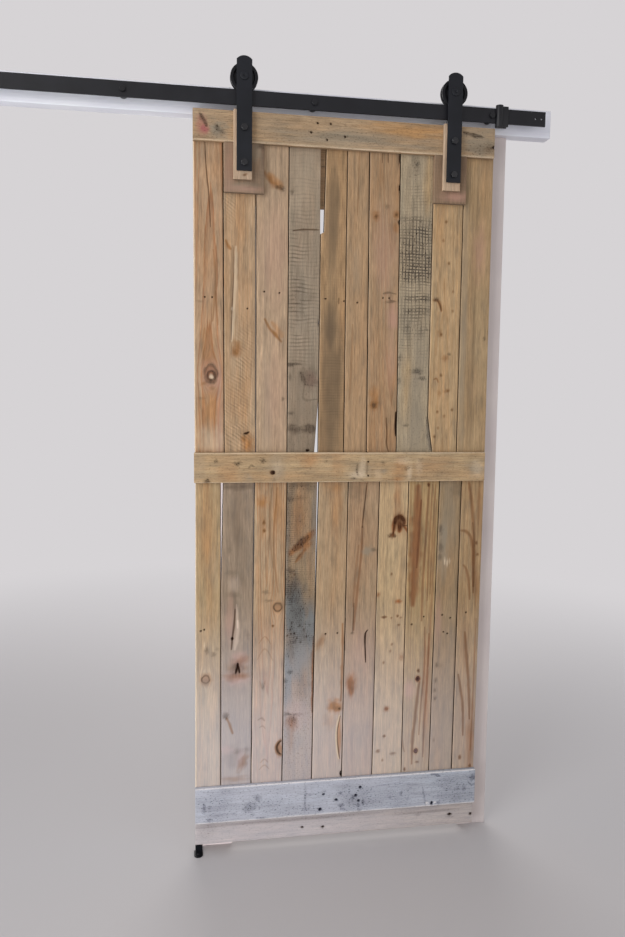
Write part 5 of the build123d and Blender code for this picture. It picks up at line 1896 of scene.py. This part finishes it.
def turned(profile: np.ndarray, centre: Point, segments: int, axis: int = 1) -> np.ndarray:
    """A profile of radius and place turned about an axis through a centre.

    The point at angle a is the centre plus radius times cosine and sine of a in the two directions
    across the axis.

    Args:
        profile: Radius and place along the axis of each profile point.
        centre: A point on the axis; its own place along the axis is added to the profile's.
        segments: Points round the axis.
        axis: Axis number.
    Returns:
        Rows of points, one row for each profile point.
    """
    angle = np.linspace(0.0, 2 * math.pi, segments, endpoint=False)
    first, second = (axis + 1) % 3, (axis + 2) % 3
    grid = np.empty((len(profile), segments, 3))
    grid[..., first] = centre[first] + profile[:, :1] * np.cos(angle)
    grid[..., second] = centre[second] + profile[:, :1] * np.sin(angle)
    grid[..., axis] = centre[axis] + profile[:, 1:]
    return grid


def arc(middle: Place, radius: float, start: float, stop: float, parts: int) -> np.ndarray:
    """Points on a circle about a middle, from one angle to another, against the clock."""
    angle = np.linspace(start, stop, parts + 1)
    return np.stack([middle[0] + radius * np.cos(angle), middle[1] + radius * np.sin(angle)], -1)


def rounded_path(points: np.ndarray, radius: float, parts: int = 3) -> np.ndarray:
    """Replaces each corner of a closed path by a quadratic curve that starts and ends a radius from it.

    Args:
        points: The path's corners.
        radius: How far from a corner its curve starts.
        parts: Steps along each curve.
    Returns:
        Points along the rounded path.
    """
    result, most = [], 0.45
    for index, corner in enumerate(points):
        back, ahead = points[index - 1] - corner, points[(index + 1) % len(points)] - corner
        size = min(radius, most * min(np.linalg.norm(back), np.linalg.norm(ahead)))
        start = corner + back / np.linalg.norm(back) * size
        stop = corner + ahead / np.linalg.norm(ahead) * size
        for part in np.linspace(0.0, 1.0, parts + 1):
            result.append((1 - part) ** 2 * start + 2 * part * (1 - part) * corner + part**2 * stop)
    return np.array(result)


def rectangle(low: Place, high: Place) -> np.ndarray:
    """A rectangle's corners from its lowest one, against the clock."""
    return np.array([low, (high[0], low[1]), high, (low[0], high[1])])


def counted(profile: list[Place], seat: float) -> np.ndarray:
    """A profile of radius and place in millimetres, as metres with the place counted from a seat in metres."""
    return np.array(profile) * MM + (0.0, seat)


def both_sides(profile: list[Place], easing: float) -> np.ndarray:
    """A ring's section from its half on one side, mirrored and with eased corners, in metres."""
    mirrored = [(size, -depth) for size, depth in profile[::-1]]
    return rounded_path(np.array(profile + mirrored), easing) * MM


def middle_of(node: str) -> Point:
    """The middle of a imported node's box."""
    low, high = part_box(node)
    return tuple((low + high) / 2)


def half_of(node: str, axis: int) -> float:
    """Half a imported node's size along an axis, in millimetres."""
    low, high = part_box(node)
    return (high[axis] - low[axis]) / 2 / MM


def dress(piece: bpy.types.Object, body: str, slot: str, material: bpy.types.Material, *nodes: str) -> None:
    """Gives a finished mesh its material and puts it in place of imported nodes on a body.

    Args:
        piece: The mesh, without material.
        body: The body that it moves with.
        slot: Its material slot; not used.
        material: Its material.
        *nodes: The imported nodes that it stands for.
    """
    piece.data.materials.append(material)
    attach(piece, body)
    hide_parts(*nodes)
    LOG.info("%s: %d faces", piece.name, len(piece.data.polygons))


def install(skin: Skin, name: str, body: str, slot: str, material: bpy.types.Material, *nodes: str) -> None:
    """Builds a skin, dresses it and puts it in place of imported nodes.

    Args:
        skin: The mesh's parts.
        name: The piece's name.
        body: The body it rides on.
        slot: The record's material slot.
        material: Its material.
        nodes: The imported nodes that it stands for.
    """
    dress(skin.build(name), body, slot, material, *nodes)


def hex_head(skin: Skin, at: Place, flats: float, seat: float, height: float, turn: float) -> None:
    """Adds a hexagon head with rounded edges that stands off its seat towards the viewer.

    Args:
        skin: The mesh to add it to.
        at: The bolt's place in the door's plane, in metres.
        flats: Width over the flats.
        seat: Where it seats, in metres.
        height: How far it stands off its seat.
        turn: The turn of its corners, in degrees.
    """
    angle = np.radians(np.arange(6) * 60.0 + turn)
    radius = flats * MM / math.sqrt(3.0)
    corners = np.stack([at[0] + radius * np.cos(angle), at[1] + radius * np.sin(angle)], -1)
    outline = rounded_path(corners, flats * MM * 0.05)
    skin.add(prism(outline, seat - height * MM, seat, flats * MM * 0.07, FACING), flip=True)


@dataclass
class Trim:
    """The painted header board and casing legs."""

    header: Paint = Paint((240, 240, 244), (226, 226, 236))
    # The legs' paint is the header's white made darker and warmer: painted shade.
    casing: Paint = Paint((220, 209, 204), (204, 192, 190))
    arris: float = 1.6

    def board(self, node: str, slot: str, paint: Paint, along: int) -> None:
        """One painted board, as a prism along its length with worn long edges.

        Args:
            node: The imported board.
            slot: Its material slot.
            paint: Its paint.
            along: Axis number of its length.
        """
        low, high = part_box(node)
        first, second = (axis for axis in (0, 1, 2) if axis != along)
        size = self.arris * MM
        outline = rounded_path(rectangle((low[first], low[second]), (high[first], high[second])), size)
        skin = Skin()
        skin.add(prism(outline, low[along], high[along], size, (first, second, along)), flip=along == 1)
        stroke = [260.0, 260.0, 260.0]
        stroke[along] = 6.0
        install(skin, f"{node}_painted", "frame", slot, paint.material(f"{node}_paint", tuple(stroke)), node)

    def build(self) -> None:
        """Builds the header board and both legs."""
        self.board("header_board", "header_paint", self.header, 0)
        self.board("casing_left", "casing_paint", self.casing, 2)
        self.board("casing_right", "casing_paint", self.casing, 2)


@dataclass
class Track:
    """The flat track with its spacers, lag bolts and end stops."""

    coating: Coating = Coating((19, 19, 23), (33, 34, 39), 0.46, 0.27)
    fittings: Coating = Coating((13, 13, 16), (26, 27, 32), 0.36, 0.32)
    bolt_inset: float = 159.0
    bolt_count: int = 4
    bolt_flats: float = 15.0
    bolt_height: float = 6.0
    shank_radius: float = 4.0
    spacer_bore: float = 4.3
    boss_radius: float = 11.0
    clamp_width: float = 32.0
    clamp_lead: float = 7.0
    clamp_wall: float = 6.0
    clamp_top: float = 25.0
    clamp_foot: float = -29.5
    clearance: float = 0.2
    screw_places: Place = (-9.0, 9.0)
    screw_radius: float = 3.0

    def bolt_places(self) -> list[float]:
        """The bolts' places along the track, evenly spread between the insets."""
        low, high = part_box("track")
        return np.linspace(low.x + self.bolt_inset * MM, high.x - self.bolt_inset * MM, self.bolt_count).tolist()

    def fitting(self, skin: Skin, name: str, coat: str, node: str) -> None:
        """Puts one of the track's fittings in place."""
        install(skin, name, "frame", "hardware_finish", self.fittings.material(f"{coat}_coating"), node)

    def bar(self, packed: bpy.types.Object) -> None:
        """The flat bar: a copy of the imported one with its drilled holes, whose sharp edges are eased.

        Args:
            packed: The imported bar.
        """
        sharp_angle, easing, near = 0.6, 0.5 * MM, 1e-6
        mesh = packed.data.copy()
        mesh.materials.clear()
        form = bmesh.new()
        form.from_mesh(mesh)
        bmesh.ops.remove_doubles(form, verts=form.verts, dist=near)
        sharp = [edge for edge in form.edges if edge.is_manifold and edge.calc_face_angle() > sharp_angle]
        bmesh.ops.bevel(form, geom=sharp, offset=easing, segments=2, profile=0.5, affect="EDGES", clamp_overlap=True)
        form.to_mesh(mesh)
        form.free()
        piece = bpy.data.objects.new("track_bar", mesh)
        bpy.context.scene.collection.objects.link(piece)
        dress(piece, "frame", "track_finish", self.coating.material("track_coating"), "track")

    def spacers(self) -> None:
        """The spacers: tubes with eased rims."""
        low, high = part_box("track_spacers")
        section = rectangle((self.spacer_bore * MM, low.y), (half_of("track_spacers", 2) * MM, high.y))
        skin = Skin()
        for x in self.bolt_places():
            skin.add(turned(rounded_path(section, 0.8 * MM), (x, 0.0, 0.0), 48), ring=True)
        self.fitting(skin, "spacer_tubes", "spacer", "track_spacers")

    def bolts(self) -> None:
        """The lag bolts: hexagon heads, and pointed shanks that run back into the header board."""
        low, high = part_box("track_bolts")
        seat = low.y + self.bolt_height * MM
        radius, length = self.shank_radius, (high.y - seat) / MM
        shank = counted([(0.5, 0.0), (radius, 0.0), (radius, length - 3.0), (1.2, length)], seat)
        skin = Skin()
        for number, x in enumerate(self.bolt_places()):
            hex_head(skin, (x, 0.0), self.bolt_flats, seat, self.bolt_height, 12.0 + 23.0 * number)
            skin.add(turned(shank, (x, 0.0, 0.0), 24))
        self.fitting(skin, "track_lag_bolts", "bolt", "track_bolts")

    def stop(self, side: str) -> None:
        """One end stop: a clamp over the track and a half-round boss in front of it.

        Args:
            side: Which end of the track, left or right.
        """
        node = f"stop_{side}"
        low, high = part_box(node)
        track_low, track_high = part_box("track")
        inwards = -1.0 if side == "right" else 1.0
        radius, clear, wall = self.boss_radius * MM, self.clearance * MM, self.clamp_wall * MM
        boss_x = low.x + radius if side == "right" else high.x - radius
        start = boss_x + inwards * self.clamp_lead * MM
        near, far = sorted((start, start - inwards * self.clamp_width * MM))
        front, back, slot_top = track_low.y - clear, track_high.y + clear, track_high.z + clear
        top, foot = self.clamp_top * MM, self.clamp_foot * MM
        corners = np.array([
            (front - wall, foot), (front, foot), (front, slot_top), (back, slot_top),
            (back, foot), (back + wall, foot), (back + wall, top), (front - wall, top),
        ])
        skin = Skin()
        skin.add(prism(rounded_path(corners, 1.2 * MM), near, far, 0.8 * MM, (1, 2, 0)))
        boss = arc((boss_x, front), radius, math.pi, 2 * math.pi, 24)
        skin.add(prism(rounded_path(boss, 0.4 * MM, parts=1), low.z, high.z, 1.2 * MM, (0, 1, 2)))
        self.fitting(skin, f"end_stop_{side}", f"stop_{side}", node)

    def screws(self) -> None:
        """The stops' set screws: short pins with sockets."""
        low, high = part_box("stop_screws")
        radius, back = self.screw_radius, (high.y - low.y) / MM
        socket = [(0.4, 3.0), (1.4, 2.8), (1.6, 0.0)]
        pin = counted([*socket, (radius - 0.5, 0.0), (radius, 0.5), (radius, back), (0.4, back)], low.y)
        middle = high.x - radius * MM
        skin = Skin()
        for x in (-middle, middle):
            for z in self.screw_places:
                skin.add(turned(pin, (x, 0.0, z * MM), 24))
        self.fitting(skin, "stop_set_screws", "screw", "stop_screws")

    def build(self, packed: bpy.types.Object) -> None:
        """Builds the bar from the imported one, and everything that is fixed to it.

        Args:
            packed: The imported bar.
        """
        self.bar(packed)
        self.spacers()
        self.bolts()
        self.stop("left")
        self.stop("right")
        self.screws()


@dataclass
class Hanger:
    """One strap with its wheel, bearing and axle."""

    side: str
    coating: Coating = Coating((16, 18, 23), (31, 33, 40), 0.42, 0.25)
    wheel_coat: Coating = Coating((14, 14, 17), (27, 27, 32), 0.34)
    bearing_steel: Steel = Steel((120, 120, 122), 0.36)
    crown_radius: float = 27.0
    lower_radius: float = 2.0
    groove_radius: float = 30.5
    groove_floor: float = 7.0
    groove_mouth: float = 10.4
    hub_radius: float = 17.5
    hub_width: float = 14.0
    web: float = 7.0
    rim_inner: float = 28.5
    bearing_radius: float = 13.0
    bore: float = 5.0

    def strap(self) -> None:
        """The strap: straight sides, a crowned top, eased lower corners and rounded edges.

        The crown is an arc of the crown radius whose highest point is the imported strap's top.
        """
        node = f"hanger_strap_{self.side}"
        low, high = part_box(node)
        middle, half = (low.x + high.x) / 2, (high.x - low.x) / 2
        radius, corner, quarter = self.crown_radius * MM, self.lower_radius * MM, math.pi / 2
        sweep = math.asin(half / radius)
        outline = np.concatenate([
            arc((low.x + corner, low.z + corner), corner, 2 * quarter, 3 * quarter, 4),
            arc((high.x - corner, low.z + corner), corner, -quarter, 0.0, 4),
            arc((middle, high.z - radius), radius, quarter - sweep, quarter + sweep, 20),
        ])
        skin = Skin()
        skin.add(prism(outline, low.y, high.y, 0.8 * MM, FACING), flip=True)
        install(skin, f"strap_{self.side}", "door", "strap_finish", self.coating.material(f"{node}_coating"), node)

    def wheel(self) -> None:
        """The wheel: a section with groove, webs and hub, eased at its corners and turned about the axle."""
        node = f"wheel_{self.side}"
        radius, half = half_of(node, 2), half_of(node, 1)
        section = both_sides([
            (self.bearing_radius, self.hub_width / 2), (self.hub_radius, self.hub_width / 2),
            (self.hub_radius + 1.2, self.web / 2), (self.rim_inner - 1.4, self.web / 2),
            (self.rim_inner, half), (radius, half),
            (radius, self.groove_mouth / 2), (self.groove_radius, self.groove_floor / 2),
        ], 0.9)
        skin = Skin()
        skin.add(turned(section, middle_of(node), 96), ring=True, flip=True)
        material = self.wheel_coat.material(f"{node}_coating")
        install(skin, f"grooved_wheel_{self.side}", node, "wheel_finish", material, node)

    def bearing(self) -> None:
        """The bearing: outer ring, a shield sunk between the rings, and inner ring."""
        node = f"bearing_{self.side}"
        outer, half, sunk = half_of(node, 2), half_of(node, 1), 0.5
        section = both_sides([
            (self.bore + 0.05, half), (7.2, half), (7.4, half - sunk), (10.6, half - sunk), (10.8, half), (outer, half),
        ], 0.35)
        skin = Skin()
        skin.add(turned(section, middle_of(node), 64), ring=True, flip=True)
        material = self.bearing_steel.material(f"{node}_steel")
        install(skin, f"ball_bearing_{self.side}", f"wheel_{self.side}", "bearing_steel", material, node)

    def axle(self) -> None:
        """The axle: a low round head with an eased rim and a socket, and its shank."""
        node = f"axle_{self.side}"
        low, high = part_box(node)
        x, _, z = middle_of(node)
        radius = half_of(node, 2)
        seat = (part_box(f"hanger_strap_{self.side}")[0].y - low.y) / MM
        back = (high.y - low.y) / MM
        profile = counted([
            (0.3, 2.2), (2.8, 2.0), (3.1, 0.2), (4.0, 0.0), (radius - 1.6, 0.1), (radius - 0.6, 0.5),
            (radius - 0.1, 1.3), (radius, seat), (self.bore, seat), (self.bore, back - 0.6), (4.4, back), (0.3, back),
        ], low.y)
        skin = Skin()
        skin.add(turned(profile, (x, 0.0, z), 48))
        material = self.coating.material(f"{node}_coating")
        install(skin, f"axle_bolt_{self.side}", "door", "hardware_finish", material, node)

    def build(self) -> None:
        """Builds the hanger's own pieces."""
        self.strap()
        self.wheel()
        self.bearing()
        self.axle()


@dataclass
class Fasteners:
    """The bolts, nuts and bushes of both hangers."""

    coating: Coating = Coating((12, 12, 15), (30, 32, 38), 0.26, 0.5)
    bolt_flats: float = 17.0
    bolt_height: float = 6.5
    bolt_drops: Place = (47.4, 137.4)
    shank_radius: float = 5.0
    nut_bore: float = 4.95
    axle_nut_flats: float = 16.0
    bush_bore: float = 5.05

    def hangers(self) -> list[Place]:
        """The wheels' places along the track and their height."""
        return [middle_of(f"wheel_{side}")[::2] for side in ("left", "right")]

    def bolt_places(self) -> list[Place]:
        """Places of the hanger bolts in the door's plane."""
        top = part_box("top_rail")[1].z
        return [(x, top - drop * MM) for x, _ in self.hangers() for drop in self.bolt_drops]

    def fitting(self, skin: Skin, name: str, coat: str, node: str) -> None:
        """Puts one kind of fastener in place."""
        install(skin, name, "door", "hardware_finish", self.coating.material(f"{coat}_coating"), node)

    def hanger_bolts(self) -> None:
        """The hanger bolts: hexagon heads on the straps and shanks through the leaf."""
        low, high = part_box("hanger_bolts")
        seat = low.y + self.bolt_height * MM
        radius, back = self.shank_radius, (high.y - seat) / MM
        shank = counted([(0.3, 0.0), (radius, 0.0), (radius, back - 0.8), (radius - 0.8, back), (0.3, back)], seat)
        skin = Skin()
        for number, (x, z) in enumerate(self.bolt_places()):
            hex_head(skin, (x, z), self.bolt_flats, seat, self.bolt_height, 8.0 + 19.0 * number)
            skin.add(turned(shank, (x, 0.0, z), 32))
        self.fitting(skin, "strap_bolts", "hanger_bolt", "hanger_bolts")

    def nuts(self, node: str, name: str, places: list[Place], flats: float) -> None:
        """Hexagon nuts with a bored middle.

        At angle a from the middle of a flat the outline lies half the flats over cos(a) away, and no
        farther than its eased corners.

        Args:
            node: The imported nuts.
            name: The piece's name.
            places: Where they are in the door's plane, in metres.
            flats: Width over the flats.
        """
        low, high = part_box(node)
        easing, sector = 0.6 * MM, math.pi / 3
        angle = np.linspace(0.0, 2 * math.pi, 48, endpoint=False)
        bore = np.full_like(angle, self.nut_bore * MM)
        skin = Skin()
        for number, (x, z) in enumerate(places):
            offset = (angle - math.radians(11.0 + 17.0 * number)) % sector - sector / 2
            outer = np.minimum(flats * MM / 2 / np.cos(offset), flats * MM * 0.555)
            size = np.stack([bore, outer * 0.97, outer, outer, outer * 0.97, bore])
            depth = np.array([low.y, low.y, low.y + easing, high.y - easing, high.y, high.y])
            places_y = np.broadcast_to(depth[:, None], size.shape)
            skin.add(np.stack([x + size * np.sin(angle), places_y, z + size * np.cos(angle)], -1), ring=True)
        self.fitting(skin, name, name, node)

    def bushes(self) -> None:
        """The bushes between strap and bearing."""
        low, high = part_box("axle_bushes")
        section = rectangle((self.bush_bore * MM, low.y), (half_of("axle_bushes", 2) * MM, high.y))
        skin = Skin()
        for x, z in self.hangers():
            skin.add(turned(rounded_path(section, 0.4 * MM), (x, 0.0, z), 40), ring=True)
        self.fitting(skin, "axle_bush_rings", "bush", "axle_bushes")

    def build(self) -> None:
        """Builds the bolts, both kinds of nuts and the bushes."""
        self.hanger_bolts()
        self.nuts("hanger_nuts", "strap_nuts", self.bolt_places(), self.bolt_flats)
        self.nuts("axle_nuts", "wheel_nuts", self.hangers(), self.axle_nut_flats)
        self.bushes()


@dataclass
class Guide:
    """The floor guide at the leaf's left corner."""

    coating: Coating = Coating((16, 16, 19), (32, 34, 40), 0.3)
    plate: float = 3.0
    fin: float = 4.0
    fin_inset: float = 4.0
    dome: float = 2.5
    shank_radius: float = 2.2

    def base(self) -> None:
        """The plate with its rounded front end, and the fin."""
        low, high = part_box("floor_guide")
        radius = (high.x - low.x) / 2
        rounded = arc(((low.x + high.x) / 2, low.y + radius), radius, math.pi, 2 * math.pi, 24)
        outline = np.concatenate([rounded, [(high.x, high.y), (low.x, high.y)]])
        fin = rounded_path(rectangle((low.x + self.fin_inset * MM, low.z), (high.x, high.z)), 1.5 * MM)
        skin = Skin()
        skin.add(prism(outline, low.z, low.z + self.plate * MM, 0.6 * MM, (0, 1, 2)))
        skin.add(prism(fin, high.y - self.fin * MM, high.y, 0.8 * MM, FACING), flip=True)
        install(skin, "guide_plate", "frame", "hardware_finish", self.coating.material("guide_coating"), "floor_guide")

    def screw(self) -> None:
        """The screw, with a domed head."""
        low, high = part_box("floor_guide_screw")
        x, y, _ = middle_of("floor_guide_screw")
        length, radius = (high.z - low.z) / MM, half_of("floor_guide_screw", 0)
        seat = length - self.dome
        turn = np.linspace(math.pi / 2, 0.0, 7)
        head = np.stack([radius * np.sin(turn), seat + self.dome * np.cos(turn)], -1).tolist()
        head[-1][0] = 0.3
        profile = counted([(0.3, 0.0), (self.shank_radius, 4.0), (self.shank_radius, seat), *head], low.z)
        skin = Skin()
        skin.add(turned(profile, (x, y, 0.0), 32, axis=2))
        material = self.coating.material("guide_screw_coating")
        install(skin, "guide_screw", "frame", "hardware_finish", material, "floor_guide_screw")

    def build(self) -> None:
        """Builds the guide and its screw."""
        self.base()
        self.screw()


@dataclass(frozen=True)
class Lamp:
    """One soft rectangular lamp, aimed at a point, that may light one piece alone or spare one.

    Places and the size are metres, and the power is watts.
    """

    name: str
    at: Point
    to: Point
    size: Place
    power: float
    tint: Tone
    only: str = ""
    spare: str = ""

    def build(self) -> None:
        """Hangs the lamp."""
        data = bpy.data.lights.new(self.name, "AREA")
        data.shape = "RECTANGLE"
        data.size, data.size_y = self.size
        data.energy = self.power
        data.color = self.tint
        lamp = bpy.data.objects.new(self.name, data)
        lamp.location = self.at
        lamp.rotation_euler = (Vector(self.to) - Vector(self.at)).to_track_quat("-Z", "Y").to_euler()
        bpy.context.scene.collection.objects.link(lamp)
        if self.only or self.spare:
            chosen = bpy.data.collections.new(f"{self.name}_choice")
            chosen.objects.link(bpy.data.objects[self.only or self.spare])
            if self.spare:
                chosen.collection_objects[0].light_linking.link_state = "EXCLUDE"
            lamp.light_linking.receiver_collection = chosen


LAMPS = (
    Lamp("key", (-2.5, -2.8, 1.0), (0.2, 0.0, -0.7), (2.0, 2.0), 60.0, (1.0, 0.985, 0.965)),
    Lamp("low_fill", (-1.8, -2.2, -1.8), (0.1, 0.0, -2.0), (1.6, 0.6), 25.0, (0.86, 0.92, 1.0), spare="studio_floor"),
    Lamp("window", (-3.0, -0.55, -1.0), (0.0, -0.03, -1.1), (0.5, 2.2), 50.0, (0.95, 0.98, 1.0), spare="studio_floor"),
    Lamp("front_fill", (-0.1, -3.2, -0.9), (0.0, 0.0, -1.0), (0.8, 1.6), 15.0, (1.0, 0.99, 0.98)),
    Lamp("right_fill", (2.8, -3.2, -0.6), (0.3, 0.0, -1.0), (2.2, 2.4), 14.0, (1.0, 0.98, 0.96)),
    Lamp("slit_fill", (-0.1, -2.6, -1.1), (0.02, 0.0, -1.13), (0.12, 0.5), 46.0, (0.97, 0.97, 1.0),
         only="casing_left_painted"),
    Lamp("back_fill", (0.6, 3.2, 0.4), (0.3, 0.0, -1.0), (2.6, 2.6), 52.0, (1.0, 0.98, 0.96)),
)


@dataclass
class Studio:
    """Camera, lights, floor and background, in metres, apart from the lens and its sensor, and in degrees."""

    eye: Point = (-0.1099, -2.2390, -0.7813)
    yaw: float = 9.615
    pitch: float = -5.414
    roll: float = 0.593
    lens: float = 30.095
    sensor: float = 36.0
    nearest: float = 0.05
    backdrop: Tone = (214, 211, 213)
    ground: Tone = (206, 202, 202)
    floor_centre: Point = (0.35, 0.0, 0.0)
    floor_radius: float = 9.0
    fade_from: float = 1.0
    fade_to: float = 4.0

    def camera(self) -> None:
        """Sets the camera at the photograph's viewing angle.

        Forward is (sin yaw cos pitch, cos yaw cos pitch, sin pitch); right and up are level with it and
        then turned about it by the roll.
        """
        yaw, pitch, roll = (math.radians(value) for value in (self.yaw, self.pitch, self.roll))
        forward = Vector((math.sin(yaw) * math.cos(pitch), math.cos(yaw) * math.cos(pitch), math.sin(pitch)))
        level = Vector((math.cos(yaw), -math.sin(yaw), 0.0))
        upright = level.cross(forward)
        right = level * math.cos(roll) + upright * math.sin(roll)
        up = upright * math.cos(roll) - level * math.sin(roll)
        data = bpy.data.cameras.new("camera")
        data.lens = self.lens
        data.sensor_width = self.sensor
        data.sensor_fit = "AUTO"
        data.clip_start = self.nearest
        camera = bpy.data.objects.new("camera", data)
        turn = Matrix((right, up, -forward)).transposed().to_4x4()
        camera.matrix_world = Matrix.Translation(Vector(self.eye)) @ turn
        bpy.context.scene.collection.objects.link(camera)
        bpy.context.scene.camera = camera

    def background(self) -> None:
        """The world: an even pale light, and the backdrop's tone for the camera, gloss and glass."""
        world = bpy.data.worlds.new("studio")
        bpy.context.scene.world = world
        world.use_nodes = True
        mix = Graph(world.node_tree)
        ambient = mix.node("Background", {"Color": (0.92, 0.94, 1.0, 1.0), "Strength": 0.4}).outputs[0]
        shown = mix.node("Background", {"Color": linear(self.backdrop), "Strength": 1.0}).outputs[0]
        light = mix.node("MixShader", {0: mix.seen(), 1: ambient, 2: shown}).outputs[0]
        mix.node("OutputWorld", {"Surface": light})

    def floor(self, level: float) -> None:
        """A pale floor that fades into the backdrop's tone away from the door.

        Args:
            level: The floor's height, in metres.
        """
        skin = Skin()
        thickness, bore = 0.02, 0.001
        profile = rectangle((bore, level - thickness), (self.floor_radius, level))
        skin.add(turned(profile, self.floor_centre, 96, axis=2))
        floor = skin.build("studio_floor")
        mix = Recipe("floor_finish")
        mix.fix("Base Color", linear(self.ground))
        mix.fix("Roughness", 0.7)
        mix.fix("Specular IOR Level", 0.2)
        flat = mix.stretched(mix.coordinates(), (1.0, 1.0, 0.0))
        away = mix.node("VectorMath", {0: flat}, operation="LENGTH").outputs["Value"]
        reach = {"Value": away, "From Min": self.fade_from, "From Max": self.fade_to}
        fade = mix.node("MapRange", reach, interpolation_type="SMOOTHSTEP").outputs[0]
        glow = mix.node("Emission", {"Color": linear(self.backdrop)}).outputs[0]
        share = mix.product(fade, mix.seen())
        blend = mix.node("MixShader", {0: share, 1: mix.shader.outputs[0], 2: glow}).outputs[0]
        mix.put(mix.output.inputs["Surface"], blend)
        floor.data.materials.append(mix.material)

    def build(self, level: float) -> None:
        """Sets up the whole studio over a floor at the given height.

        Args:
            level: The floor's height, in metres.
        """
        bpy.context.scene.view_settings.view_transform = "Standard"
        self.camera()
        self.background()
        self.floor(level)
        for lamp in LAMPS:
            lamp.build()


def main() -> None:
    """Builds the object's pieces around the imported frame, then the studio."""
    logging.basicConfig(level=logging.INFO, format="%(name)s: %(message)s")
    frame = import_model()
    leaf = Leaf(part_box("bottom_rail")[0].x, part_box("base_board")[0].z)
    for board in upper_boards() + lower_boards() + lying_boards() + hidden_boards():
        board.build(leaf, frame)
    Trim().build()
    Track().build(frame["nodes"]["track"])
    for side in ("left", "right"):
        Hanger(side).build()
    Fasteners().build()
    Guide().build()
    frame["nodes"]["board_screws"].data.materials.clear()
    frame["nodes"]["board_screws"].data.materials.append(Steel((128, 124, 116), 0.45).material("screw_steel_finish"))
    Studio().build(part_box("casing_left")[0].z)


if __name__ == "__main__":
    main()
